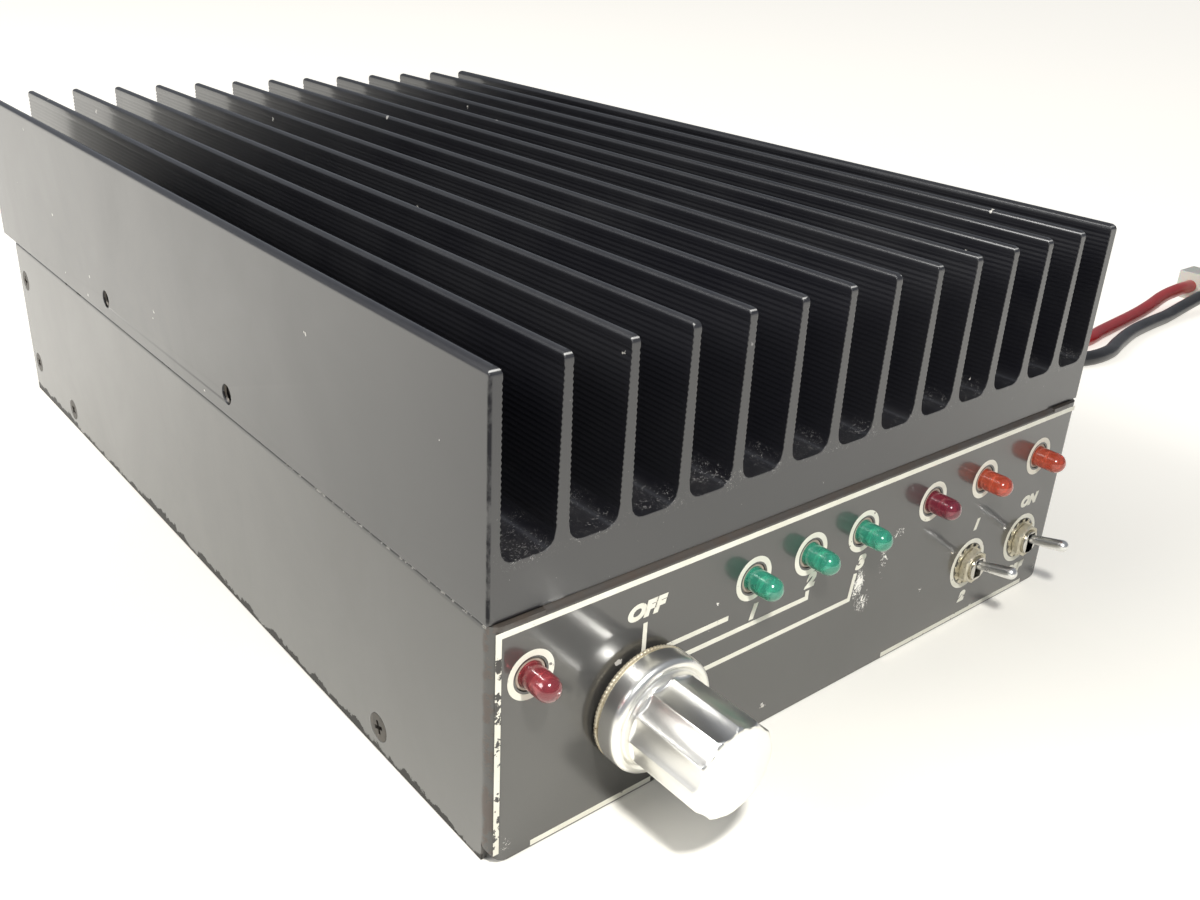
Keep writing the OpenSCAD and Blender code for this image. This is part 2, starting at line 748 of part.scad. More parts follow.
module selector_washer() {
    color("silver") difference() {
        y_rod(selector_washer_d, selector_washer_t, [knob_x, front_y - selector_washer_t, knob_z]);
        y_rod(thread_d + 2 * bore_fit, selector_washer_t + 2,
            [knob_x, front_y - selector_washer_t - 1, knob_z]);
    }
}

// Solder tags in a ring on the back of the selector
module selector_tags() {
    tag_r = selector_d / 2 - 1.8;
    color("gold") for (k = [0 : tag_count - 1])
        translate([knob_x + tag_r * cos(k * 360 / tag_count), front_y + sheet_t + selector_l,
            knob_z + tag_r * sin(k * 360 / tag_count)])
            rotate([0, -k * 360 / tag_count, 0])
                translate([-tag_size[0] / 2, 0, -tag_size[2] / 2]) cube(tag_size);
}

// ---- Lamps ----

module lamp(x) {
    tip_y = front_y - lamp_reach;
    translate([x, tip_y + lamp_d / 2, lamp_z]) sphere(d = lamp_d);
    y_rod(lamp_d, lamp_body_l - lamp_d / 2, [x, tip_y + lamp_d / 2, lamp_z]);
    y_rod(lamp_rim_d, lamp_rim_t, [x, tip_y + lamp_body_l - lamp_rim_t, lamp_z]);
}

module protection_lamp() { color([0.4, 0.05, 0.08]) lamp(lamp_xs[0]); }
module level_lamp_low() { color([0.1, 0.5, 0.35]) lamp(lamp_xs[1]); }
module level_lamp_middle() { color([0.1, 0.5, 0.35]) lamp(lamp_xs[2]); }
module level_lamp_high() { color([0.1, 0.5, 0.35]) lamp(lamp_xs[3]); }
module transmit_lamp() { color([0.45, 0.05, 0.08]) lamp(lamp_xs[4]); }
module mode_lamp() { color([0.9, 0.25, 0.1]) lamp(lamp_xs[5]); }
module preamp_lamp() { color([0.9, 0.25, 0.1]) lamp(lamp_xs[6]); }

module lamp_leads() {
    color("silver") for (x = lamp_xs, s = [-1, 1])
        translate([x + s * lead_span / 2 - lead_w / 2, lamp_back_y, lamp_z - lead_w / 2])
            cube([lead_w, lamp_board_y - lamp_back_y + board_t + 0.8, lead_w]);
}

module lamp_board() {
    color([0.2, 0.4, 0.25]) difference() {
        block([-lamp_board_w / 2, lamp_board_y, lamp_z - lamp_board_low],
            [lamp_board_w, board_t, lamp_board_low + lamp_board_z]);
        for (x = lamp_xs, s = [-1, 1]) block(
            [x + s * lead_span / 2 - lead_hole_w / 2, lamp_board_y - 1, lamp_z - lead_hole_w / 2],
            [lead_hole_w, board_t + 2, lead_hole_w]);
    }
}

// Pillars between the front sheet and the lamp board
module lamp_board_pillars() {
    color("silver") for (s = lamp_pillar_shares)
        y_rod(4, lamp_board_gap, [s * case_w, front_y + sheet_t, lamp_z + 1.2]);
}

// ---- Toggle switches ----

module toggle_switch(x) {
    seat_y = front_y + sheet_t;
    color([0.1, 0.2, 0.35])
    difference() {
        union() {
            block([x - toggle_body[0] / 2, seat_y, toggle_z - toggle_body[2] / 2], toggle_body);
            y_rod(bush_d, bush_end + sheet_t + 1, [x, front_y - bush_end, toggle_z]);
        }
        block([x - slot_w / 2, front_y - bush_end - 1, toggle_z - slot_h / 2],
            [slot_w, bush_end + pivot_in + 5, slot_h]);
        pivot_rod(x, pivot_pin_d + 2 * pivot_fit, pivot_pin_l + 2 * pivot_fit);
    }
}

// Cross pin that the lever turns on
module pivot_rod(x, d, l) {
    x_rod(d, l, [x - l / 2, pivot_y, toggle_z]);
}

module toggle_nut(x) {
    color("silver") hex_nut(nut_af, bush_d + 2 * bore_fit, nut_t, [x, front_y - washer_t, toggle_z]);
}

module toggle_washer(x) {
    color([0.65, 0.6, 0.45]) translate([x, front_y, toggle_z]) rotate([90, 0, 0]) difference() {
        union() {
            cylinder(h = washer_t, d = washer_d - 2);
            for (k = [0 : tooth_count - 1]) rotate([0, 0, (k + 0.5) * 360 / tooth_count])
                translate([0, -0.75, 0]) cube([washer_d / 2, 1.5, washer_t]);
        }
        translate([0, 0, -1]) cylinder(h = washer_t + 2, d = bush_d + 2 * bore_fit);
    }
}

// The lever leans up at rest, about the pivot behind the panel
module toggle_lever(x) {
    straight = lever_l - lever_tip_d / 2;
    neck_from = bush_end + pivot_in;
    color("silver")
    translate([x, pivot_y, toggle_z]) rotate([90 - lever_lean, 0, 0]) {
        sphere(d = lever_ball_d);
        translate([-pivot_pin_l / 2, 0, 0]) rotate([0, 90, 0]) cylinder(h = pivot_pin_l, d = pivot_pin_d);
        translate([0, 0, -2.6]) cylinder(h = 2.6, d = 1.8);
        cylinder(h = neck_from, d = lever_neck_d);
        translate([0, 0, neck_from - eps])
            cylinder(h = straight - neck_from + eps, d1 = lever_neck_d, d2 = lever_tip_d);
        translate([0, 0, straight]) sphere(d = lever_tip_d);
    }
}

module mode_switch() { toggle_switch(toggle_xs[0]); }
module mode_nut() { toggle_nut(toggle_xs[0]); }
module mode_washer() { toggle_washer(toggle_xs[0]); }
module mode_lever() { toggle_lever(toggle_xs[0]); }
module preamp_switch() { toggle_switch(toggle_xs[1]); }
module preamp_nut() { toggle_nut(toggle_xs[1]); }
module preamp_washer() { toggle_washer(toggle_xs[1]); }
module preamp_lever() { toggle_lever(toggle_xs[1]); }

module toggle_tags() {
    size = toggle_tag_size;
    color("gold") for (x = toggle_xs, sx = [-1, 1], k = [-1, 0, 1]) block(
        [x + sx * toggle_tag_span / 2 - size[0] / 2, front_y + sheet_t + toggle_body[1],
            toggle_z + k * toggle_tag_pitch - size[2] / 2], size);
}

// ---- Boards and what hangs on them ----

module board(y, d) {
    translate([board_x - board_w / 2, y - d / 2, board_z]) cube([board_w, d, board_t]);
}

module board_holes() {
    board_pillar_places() translate([0, 0, -pillar_h - 3 * board_t])
        cylinder(h = 4 * board_t, d = m3_d + 2 * bore_fit);
}

module power_board() {
    color([0.2, 0.42, 0.25]) difference() {
        board(power_board_y, power_board_d);
        for (x = transistor_xs) block(
            [x - transistor_slot_w / 2, transistor_y - flange_len / 2 - 1, board_z - 1],
            [transistor_slot_w, flange_len + 2, board_t + 2]);
        board_holes();
    }
}

module filter_board() {
    color([0.2, 0.42, 0.25]) difference() {
        board(filter_board_y, filter_board_d);
        board_holes();
    }
}

module board_pillars() {
    color("silver") board_pillar_places() difference() {
        translate([0, 0, -pillar_h]) cylinder(h = pillar_h, d = pillar_d);
        translate([0, 0, -pillar_h - 1]) cylinder(h = pillar_h + 2, d = m3_d + 2 * bore_fit);
    }
}

module board_screws() {
    color("silver") board_pillar_places() translate([0, 0, -pillar_h - board_t]) mirror([0, 0, 1])
        pan_screw(pillar_h + board_t + 5);
}

// Flanged power transistors, bolted to the underside of the heatsink
module rf_transistors() {
    flange = transistor_flange;
    strip = transistor_strip;
    color([0.85, 0.83, 0.8]) for (x = transistor_xs) translate([x, transistor_y, case_h]) difference() {
        union() {
            block([-flange[0] / 2, -flange[1] / 2, -flange[2]], flange);
            translate([0, 0, -transistor_cap_h - flange[2] / 2])
                cylinder(h = transistor_cap_h, d = transistor_cap_d);
            block([-strip[0] / 2, -strip[1] / 2, -2 * flange[2]], strip);
        }
        for (s = [-1, 1]) translate([0, s * transistor_hole_span / 2, -flange[2] - 1])
            cylinder(h = flange[2] + 2, d = m3_d + 2 * bore_fit);
    }
}

module transistor_screws() {
    color("silver") transistor_screw_places() screw_up(transistor_flange[2]);
}

// Two ferrite sleeves side by side, between two end plates, with their brass tubes
module sleeve_transformer(y, sleeve_d, l) {
    gap = sleeve_d + 1;
    z = board_z - sleeve_d / 2 - 1;
    difference() {
        union() for (s = [-1, 1]) {
            y_rod(sleeve_d, l, [board_x + s * gap / 2, y - l / 2, z]);
            block([board_x - gap, y + s * l / 2 - end_plate_t / 2, board_z - sleeve_d - 2],
                [2 * gap, end_plate_t, sleeve_d + 2]);
        }
        for (s = [-1, 1]) y_rod(sleeve_d * 0.42, l + 4, [board_x + s * gap / 2, y - l / 2 - 2, z]);
    }
}

module output_transformer() {
    color([0.25, 0.25, 0.27])
        sleeve_transformer(power_board_y + output_sleeve[0], output_sleeve[1], output_sleeve[2]);
}

module input_transformer() {
    color([0.25, 0.25, 0.27])
        sleeve_transformer(power_board_y + input_sleeve[0], input_sleeve[1], input_sleeve[2]);
}

// Wound ring under a board; size holds its outer diameter, bore and height
module ring_core(at, size) {
    translate(at - [0, 0, size[2]]) difference() {
        cylinder(h = size[2], d = size[0]);
        translate([0, 0, -1]) cylinder(h = size[2] + 2, d = size[1]);
    }
}

module supply_choke() {
    color([0.75, 0.45, 0.25])
        ring_core([board_x + choke_at[0], power_board_y + choke_at[1], board_z], choke);
}

module capacitors() {
    color([0.15, 0.2, 0.4]) for (x = capacitor_at)
        translate([board_x + x, power_board_y + capacitor_y, board_z - capacitor_l])
            cylinder(h = capacitor_l, d = capacitor_d);
}

module filter_toroids() {
    color([0.6, 0.5, 0.2]) for (x = toroid_at) ring_core([board_x + x, filter_board_y, board_z], toroid);
}

module relays() {
    color([0.8, 0.75, 0.3]) for (s = [-1, 1])
        block([board_x + relay_x, filter_board_y + s * (relay_size[1] + relay_gap) / 2 - relay_size[1] / 2,
            board_z - relay_size[2]], relay_size);
}

module thermal_switch() {
    color([0.75, 0.75, 0.72]) difference() {
        union() {
            block([thermal_x - thermal_w / 2, thermal_y - (thermal_span + thermal_w) / 2,
                case_h - thermal_flange_t], [thermal_w, thermal_span + thermal_w, thermal_flange_t]);
            translate([thermal_x, thermal_y, case_h - thermal_h])
                cylinder(h = thermal_h - 0.5, d = thermal_d);
        }
        for (s = [-1, 1]) translate([thermal_x, thermal_y + s * thermal_span / 2, case_h - 5])
            cylinder(h = 10, d = m3_d + 2 * bore_fit);
    }
}

// Terminal block under the heatsink where the supply cords end
module supply_terminals() {
    size = terminal_size;
    color([0.15, 0.15, 0.16]) difference() {
        block([terminal_x, terminal_y, case_h - size[2]], size);
        for (k = [0.26, 0.74])
            translate([terminal_x + size[0] / 2, terminal_y + k * size[1], case_h - size[2] - 1])
                cylinder(h = terminal_hole_deep + 1, d = terminal_hole_d);
    }
}

// ---- Rear sockets ----

module coax_socket(x) {
    seat = back_y;
    color([0.78, 0.78, 0.75]) difference() {
        union() {
            block([x - socket_flange_w / 2, seat, socket_z - socket_flange_w / 2],
                [socket_flange_w, socket_flange_t, socket_flange_w]);
            y_rod(socket_barrel_d, socket_barrel_l + socket_flange_t, [x, seat, socket_z]);
            y_rod(socket_barrel_d - 1, socket_tail_l + 1, [x, seat - socket_tail_l, socket_z]);
        }
        y_rod(socket_bore, socket_barrel_l, [x, seat + socket_flange_t + socket_floor, socket_z]);
        y_rod(contact_d + 2 * bore_fit, socket_tail_l + socket_flange_t + socket_barrel_l,
            [x, seat - socket_tail_l - 1, socket_z]);
        for (sx = [-1, 1], sz = [-1, 1]) y_rod(m3_d + 2 * bore_fit, 6,
            [x + sx * socket_screw_span / 2, seat - 2, socket_z + sz * socket_screw_span / 2]);
    }
}

module input_socket() { coax_socket(socket_xs[0]); }
module output_socket() { coax_socket(socket_xs[1]); }

// Centre contacts: a tube for the plug's pin outside and a solder pot inside
module socket_contacts() {
    color("gold") for (x = socket_xs) difference() {
        y_rod(contact_d, contact_in + contact_out, [x, back_y - contact_in, socket_z]);
        y_rod(contact_bore, contact_bore_l + 1, [x, back_y + contact_out - contact_bore_l, socket_z]);
        y_rod(solder_pot_d, solder_pot_l + 1, [x, back_y - contact_in - 1, socket_z]);
    }
}

module socket_screws() {
    color("silver") for (x = socket_xs, sx = [-1, 1], sz = [-1, 1])
        translate([x + sx * socket_screw_span / 2, back_y + socket_flange_t,
            socket_z + sz * socket_screw_span / 2]) rotate([-90, 0, 0]) pan_screw(socket_screw_l);
}

module control_jack() {
    color([0.8, 0.8, 0.78]) difference() {
        union() {
            y_rod(jack_thread_d, 9, [jack_x, rear_y - 6, jack_z]);
            y_rod(jack_flange_d, jack_flange_t, [jack_x, back_y, jack_z]);
            y_rod(jack_barrel_d, jack_barrel_l, [jack_x, back_y, jack_z]);
            y_rod(jack_nut_d, jack_nut_t, [jack_x, rear_y - jack_nut_t, jack_z]);
        }
        y_rod(jack_bore, jack_barrel_l + 3, [jack_x, back_y - 2, jack_z]);
    }
}

module ground_stud() {
    color("silver") {
        y_rod(stud_d, sheet_t + stud_in + stud_out, [stud_x, rear_y - stud_in, stud_z]);
        y_rod(stud_head_d, stud_head_t, [stud_x, rear_y - stud_head_t, stud_z]);
    }
}

module ground_wing_nut() {
    color([0.82, 0.8, 0.72]) difference() {
        union() {
            y_rod(9, 4.5, [stud_x, back_y + 3, stud_z]);
            for (s = [-1, 1]) translate([stud_x + s * 4, back_y + 5.2, stud_z]) rotate([0, s * 90, 0])
                linear_extrude(6) wing_section();
            y_rod(11, 1, [stud_x, back_y, stud_z]);
            y_rod(10, 2, [stud_x, back_y + 1, stud_z]);
        }
        y_rod(stud_d + 2 * bore_fit, 12, [stud_x, back_y - 1, stud_z]);
    }
}

module wing_section() {
    polygon(concat([[-1.2, -1.6], [1.2, -1.6]], arc([0, 4.4], 1.2, 0, 180, 6)));
}

// Rubber bushes that hold the supply cords in the rear panel
module cord_bushes() {
    color([0.1, 0.1, 0.1]) for (x = bush_xs) {
        y_rod(cord_bush_d, sheet_t + 4, [x, rear_y - 2, cord_z]);
        y_rod(cord_bush_d + 3, 2, [x, rear_y - 2, cord_z]);
        y_rod(cord_bush_d + 4, 2.4, [x, back_y, cord_z]);
        translate([x, back_y + 2.4, cord_z]) rotate([-90, 0, 0])
            cylinder(h = bush_reach - 2.4, d1 = cord_bush_d + 1, d2 = cord_d + 1.6);
    }
}

// ---- Supply cords ----

function unit(v) = v / norm(v);
function heading(p, k) = unit(p[min(k + 1, len(p) - 1)] - p[max(k - 1, 0)]);
function ring(p, k, r, n) = let (t = heading(p, k), s = unit(cross(t, [0, 0, 1])), u = cross(s, t))
    [for (j = [0 : n - 1]) let (a = 270 + 360 * (j + 0.5) / n) p[k] + r * (cos(a) * s + sin(a) * u)];

module cord(p, d, n) {
    r = d / 2 / cos(180 / n) - eps;
    last = (len(p) - 1) * n;
    polyhedron(
        points = [for (k = [0 : len(p) - 1]) each ring(p, k, r, n)],
        faces = concat(
            [[for (j = [0 : n - 1]) j]],
            [for (k = [0 : len(p) - 2], j = [0 : n - 1]) let (a = k * n + j, b = k * n + (j + 1) % n)
                each [[a, a + n, b], [b, a + n, b + n]]],
            [[for (j = [n - 1 : -1 : 0]) last + j]]));
}

module red_cord() {
    color([0.75, 0.08, 0.08]) translate(cord_shift) cord(red_route, cord_d, cord_sides);
}

module black_cord() {
    color([0.06, 0.06, 0.06]) translate(cord_shift) cord(black_route, cord_d, cord_sides);
}

// Two-way connector housing at the end of the cords
module supply_connector() {
    y0 = connector_y - connector_w / 2;
    color([0.9, 0.9, 0.86]) difference() {
        union() {
            block([connector_x, y0, 0], [connector_l * 0.42, connector_w, connector_h]);
            block([connector_x, y0 + 1.5, 1.2], [connector_l, connector_w - 3, connector_h - 2.4]);
            // latch
            block([connector_x + connector_l * 0.3, connector_y - 3, connector_h - 0.5],
                [connector_l * 0.5, 6, 2.2]);
        }
        for (y = contact_ys) block([connector_x + connector_l - contact_hole[0], y - contact_hole[1] / 2,
            connector_h / 2 - contact_hole[2] / 2], contact_hole + [1, 0, 0]);
    }
}

heatsink();
case_wrap();
rear_panel();
bottom_cover();
side_screws();
heatsink_screws();
rear_flange_screws();
power_knob();
knob_grub_screw();
selector_shaft();
selector_switch();
selector_nut();
selector_washer();
selector_tags();
protection_lamp();
level_lamp_low();
level_lamp_middle();
level_lamp_high();
transmit_lamp();
mode_lamp();
preamp_lamp();
lamp_leads();
lamp_board();
lamp_board_pillars();
mode_switch();
mode_nut();
mode_washer();
mode_lever();
preamp_switch();
preamp_nut();
preamp_washer();
preamp_lever();
toggle_tags();
power_board();
filter_board();
board_pillars();
board_screws();
rf_transistors();
transistor_screws();
output_transformer();
input_transformer();
supply_choke();
capacitors();
filter_toroids();
relays();
thermal_switch();
supply_terminals();
input_socket();
output_socket();
socket_contacts();
socket_screws();
control_jack();
ground_stud();
ground_wing_nut();
cord_bushes();
red_cord();
black_cord();
supply_connector();
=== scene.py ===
import bmesh
import bpy
import json
import math
from mathutils import Matrix, Vector


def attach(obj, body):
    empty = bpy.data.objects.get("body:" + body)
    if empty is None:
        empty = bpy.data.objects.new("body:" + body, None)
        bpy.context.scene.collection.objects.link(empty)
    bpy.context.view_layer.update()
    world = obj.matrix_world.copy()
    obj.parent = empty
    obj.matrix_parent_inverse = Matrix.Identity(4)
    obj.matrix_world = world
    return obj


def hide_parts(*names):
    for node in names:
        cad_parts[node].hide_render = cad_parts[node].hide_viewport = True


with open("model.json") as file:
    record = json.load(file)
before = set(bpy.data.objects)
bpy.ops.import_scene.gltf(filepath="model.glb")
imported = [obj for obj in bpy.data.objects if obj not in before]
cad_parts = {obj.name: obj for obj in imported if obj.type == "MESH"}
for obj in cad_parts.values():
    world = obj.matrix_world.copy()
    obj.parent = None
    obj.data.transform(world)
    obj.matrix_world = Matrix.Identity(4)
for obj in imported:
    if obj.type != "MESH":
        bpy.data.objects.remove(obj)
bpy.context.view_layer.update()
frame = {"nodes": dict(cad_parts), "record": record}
mm = 0.001
bodyOf = {node: body for body, nodes in frame["record"]["behaviour"]["bodies"].items() for node in nodes}
slotOf = {part["node"]: part["material_slot"] for part in frame["record"]["subparts"]}
scene = bpy.context.scene
scene.view_settings.view_transform = "Standard"

# The case, in millimetres: x to the right, y to the back, z up from the table
case = {"halfWidth": 89.7, "frontY": -136.0, "backY": 136.0}
frontY = case["frontY"]
backY = case["backY"]


# Camera
camera = {
    "place": (-179.03, -264.61, 157.19),
    "right": (0.77319, -0.63225, 0.04933),
    "down": (-0.23342, -0.35606, -0.90484),
    "forward": (0.58965, 0.68810, -0.42289),
    "lens": 34.563,
}


def placeCamera(look):
    data = bpy.data.cameras.new("photoCamera")
    data.sensor_width = 36
    data.sensor_fit = "HORIZONTAL"
    data.lens = look["lens"]
    data.clip_start = 0.01
    data.clip_end = 50
    eye = bpy.data.objects.new("photoCamera", data)
    scene.collection.objects.link(eye)
    right, down, forward = Vector(look["right"]), Vector(look["down"]), Vector(look["forward"])
    turn = Matrix((right, -down, -forward)).transposed().to_4x4()
    eye.matrix_world = Matrix.Translation(Vector(look["place"]) * mm) @ turn
    scene.camera = eye


placeCamera(camera)
print("camera placed")


# Node helpers
def feed(socket, value):
    if isinstance(value, bpy.types.NodeSocket):
        socket.id_data.links.new(value, socket)
    elif isinstance(value, (tuple, list)) and len(value) == 3 and socket.type == "RGBA":
        socket.default_value = (*value, 1.0)
    else:
        socket.default_value = value


def addNode(tree, kind, props=None, **inputs):
    node = tree.nodes.new(kind)
    for key, value in (props or {}).items():
        setattr(node, key, value)
    for key, value in inputs.items():
        index = int(key[1:]) if key[0] == "i" and key[1:].isdigit() else key.replace("_", " ")
        feed(node.inputs[index], value)
    return node


signs = {"*": "MULTIPLY", "+": "ADD", "-": "SUBTRACT", ">": "GREATER_THAN", "<": "LESS_THAN"}


def treeOf(*values):
    return next(value.id_data for value in values if isinstance(value, bpy.types.NodeSocket))


def calc(sign, a, b=0.0):
    node = addNode(treeOf(a, b), "ShaderNodeMath", {"operation": signs.get(sign, sign)}, i0=a, i1=b)
    return node.outputs[0]


def vectorCalc(sign, a, *others):
    node = addNode(treeOf(a), "ShaderNodeVectorMath", {"operation": signs.get(sign, sign)}, i0=a)
    for socket, value in zip(node.inputs[1:], others):
        feed(socket, value)
    return node.outputs[1 if sign in ("LENGTH", "DISTANCE") else 0]


def split(vector):
    return addNode(treeOf(vector), "ShaderNodeSeparateXYZ", None, i0=vector).outputs


def blendColour(factor, a, b):
    node = treeOf(factor).nodes.new("ShaderNodeMix")
    node.data_type = "RGBA"
    for socket, value in zip((node.inputs[0], node.inputs[6], node.inputs[7]), (factor, a, b)):
        feed(socket, value)
    return node.outputs[2]


def remap(value, low, high, toLow=0.0, toHigh=1.0, smooth=False):
    kind = "SMOOTHSTEP" if smooth else "LINEAR"
    return addNode(treeOf(value), "ShaderNodeMapRange", {"interpolation_type": kind}, i0=value, i1=low,
                   i2=high, i3=toLow, i4=toHigh).outputs[0]


def newGroup(name, inputs, outputs):
    tree = bpy.data.node_groups.new(name, "ShaderNodeTree")
    for label, kind, value in inputs:
        socket = tree.interface.new_socket(name=label, in_out="INPUT", socket_type=kind)
        if value is not None:
            socket.default_value = value
    for label in outputs:
        tree.interface.new_socket(name=label, in_out="OUTPUT", socket_type="NodeSocketFloat")
    return tree, tree.nodes.new("NodeGroupInput"), tree.nodes.new("NodeGroupOutput")


def noiseIn(vector, scale, detail=4.0, roughness=0.55, distortion=0.0):
    return addNode(treeOf(vector), "ShaderNodeTexNoise", None, Vector=vector, Scale=scale, Detail=detail,
                   Roughness=roughness, Distortion=distortion).outputs[0]


vectorKind, floatKind = "NodeSocketVector", "NodeSocketFloat"


# Broad patches and fine grain of one finish
def grainGroup():
    tree, given, out = newGroup("fineGrain", [("Vector", vectorKind, None), ("Scale", floatKind, 900.0),
                                              ("Patch Scale", floatKind, 35.0)], ["Height", "Patches"])
    vector = given.outputs["Vector"]
    fine = noiseIn(vector, given.outputs["Scale"], 3.0, 0.6)
    broad = noiseIn(vector, given.outputs["Patch Scale"], 5.0, 0.6, 0.4)
    feed(out.inputs["Height"], fine)
    feed(out.inputs["Patches"], remap(broad, 0.3, 0.7))
    return tree


# Small light specks of dust and nicks
def speckGroup():
    tree, given, out = newGroup("speckle", [("Vector", vectorKind, None), ("Scale", floatKind, 300.0),
                                            ("Amount", floatKind, 0.2)], ["Mask"])
    vector = given.outputs["Vector"]
    cells = addNode(tree, "ShaderNodeTexVoronoi", None, Vector=vector, Scale=given.outputs["Scale"])
    lot = addNode(tree, "ShaderNodeSeparateColor", None, Color=cells.outputs["Color"]).outputs[0]
    chosen = calc("<", lot, given.outputs["Amount"])
    size = remap(noiseIn(vector, 700.0, 2.0), 0.35, 0.65, 0.05, 0.3)
    dot = calc("<", cells.outputs["Distance"], size)
    feed(out.inputs["Mask"], calc("*", dot, chosen))
    return tree


# Thin scattered scratches, long along the vector's own X
def scratchGroup():
    tree, given, out = newGroup("scratches", [("Vector", vectorKind, None), ("Scale", floatKind, 60.0),
                                              ("Amount", floatKind, 0.3)], ["Mask"])
    vector = given.outputs["Vector"]
    bend = addNode(tree, "ShaderNodeTexNoise", None, Vector=vector, Scale=25.0, Detail=2.0)
    moved = vectorCalc("MULTIPLY_ADD", bend.outputs["Color"], (0.004, 0.004, 0.004), vector)
    squeezed = vectorCalc("*", moved, (0.12, 1.0, 1.0))
    cells = addNode(tree, "ShaderNodeTexVoronoi", {"feature": "DISTANCE_TO_EDGE"}, Vector=squeezed,
                    Scale=given.outputs["Scale"])
    line = calc("<", cells.outputs["Distance"], 0.012)
    broken = calc("<", noiseIn(vector, 90.0, 4.0), given.outputs["Amount"])
    feed(out.inputs["Mask"], calc("*", line, broken))
    return tree


# Dust that settles on faces that look up
def dustGroup():
    tree, given, out = newGroup("settledDust", [("Vector", vectorKind, None), ("Normal", vectorKind, None),
                                                ("Amount", floatKind, 0.3)], ["Mask"])
    up = split(given.outputs["Normal"])[2]
    level = remap(up, 0.3, 0.95, 0.0, 1.0, True)
    cloud = remap(noiseIn(given.outputs["Vector"], 120.0, 6.0, 0.65), 0.35, 0.75)
    amount = calc("*", calc("*", level, cloud), given.outputs["Amount"])
    feed(out.inputs["Mask"], amount)
    return tree


# Lathe rings round an axis that runs along Y through the centre
def ringGroup():
    tree, given, out = newGroup("turnedRings", [("Vector", vectorKind, None), ("Rings", floatKind, 3000.0)],
                                ["Height"])
    flat = vectorCalc("*", given.outputs["Vector"], (1.0, 0.0, 1.0))
    radius = vectorCalc("LENGTH", flat)
    line = addNode(tree, "ShaderNodeCombineXYZ", None, i0=radius).outputs[0]
    rings = addNode(tree, "ShaderNodeTexNoise", None, Vector=line, Scale=given.outputs["Rings"], Detail=3.0)
    feed(out.inputs["Height"], rings.outputs[0])
    return tree


fineGrain, speckle, scratches = grainGroup(), speckGroup(), scratchGroup()
settledDust, turnedRings = dustGroup(), ringGroup()


def placeGroup(tree, group, **inputs):
    node = tree.nodes.new("ShaderNodeGroup")
    node.node_tree = group
    for key, value in inputs.items():
        feed(node.inputs[key.replace("_", " ")], value)
    return node


# One finish from its settings: colour and roughness variation, bump, dust, specks and scratches.
# extra adds the wear of one finish, with its painted shade and highlights, and gives back a factor for the
# shine or None
def makeFinish(name, look, extra=None):
    material = bpy.data.materials.new(name)
    material.use_nodes = True
    tree = material.node_tree
    shader = tree.nodes["Principled BSDF"]
    coords = tree.nodes.new("ShaderNodeTexCoord")
    vector = addNode(tree, "ShaderNodeMapping", None, Vector=coords.outputs["Object"],
                     Location=look.get("centre", (0, 0, 0)), Scale=look.get("stretch", (1, 1, 1))).outputs[0]
    grain = placeGroup(tree, fineGrain, Vector=vector, Scale=look.get("grain", 900.0),
                       Patch_Scale=look.get("patch", 35.0))
    colour = blendColour(grain.outputs["Patches"], look["colour"], look["second"])
    rough = look.get("rough", 0.4)
    spread = look.get("roughSpread", 0.08)
    roughness = remap(grain.outputs["Patches"], 0.0, 1.0, rough - spread / 2, rough + spread / 2)
    height = calc("*", grain.outputs["Height"], look.get("grainDepth", 0.4))
    if "dust" in look:
        normal = tree.nodes.new("ShaderNodeNewGeometry").outputs["Normal"]
        dust = placeGroup(tree, settledDust, Vector=vector, Normal=normal, Amount=look["dust"]).outputs[0]
        colour = blendColour(dust, colour, (0.42, 0.4, 0.36))
        roughness = calc("MAXIMUM", roughness, calc("*", dust, 0.9))
    if "specks" in look:
        specks = placeGroup(tree, speckle, Vector=vector, Scale=look.get("speckScale", 420.0),
                            Amount=look["specks"]).outputs["Mask"]
        colour = blendColour(specks, colour, look.get("speckColour", (0.5, 0.48, 0.44)))
    if "scratch" in look:
        lines = placeGroup(tree, scratches, Vector=vector, Scale=look.get("scratchScale", 60.0),
                           Amount=look["scratch"]).outputs["Mask"]
        colour = blendColour(lines, colour, (0.45, 0.44, 0.42))
        height = calc("-", height, calc("*", lines, 0.3))
    if "rings" in look:
        lathed = placeGroup(tree, turnedRings, Vector=vector, Rings=look["rings"])
        height = calc("+", height, lathed.outputs["Height"])
    shine = None
    if extra:
        colour, roughness, height, shine = extra(coords.outputs["Object"], colour, roughness, height)
    bump = addNode(tree, "ShaderNodeBump", None, Strength=look.get("bump", 0.15),
                   Distance=look.get("bumpSize", 0.0002), Height=height)
    if "round" in look:
        soft = addNode(tree, "ShaderNodeBevel", {"samples": 6}, Radius=look["round"] * mm)
        feed(bump.inputs["Normal"], soft.outputs[0])
    feed(shader.inputs["Base Color"], colour)
    feed(shader.inputs["Roughness"], roughness)
    feed(shader.inputs["Normal"], bump.outputs[0])
    shader.inputs["Metallic"].default_value = look.get("metal", 0.0)
    for key, value in look.get("shader", {}).items():
        shader.inputs[key].default_value = value
        if shine is not None and key in ("Specular IOR Level", "Coat Weight"):
            feed(shader.inputs[key], calc("*", shine, value))
    return material
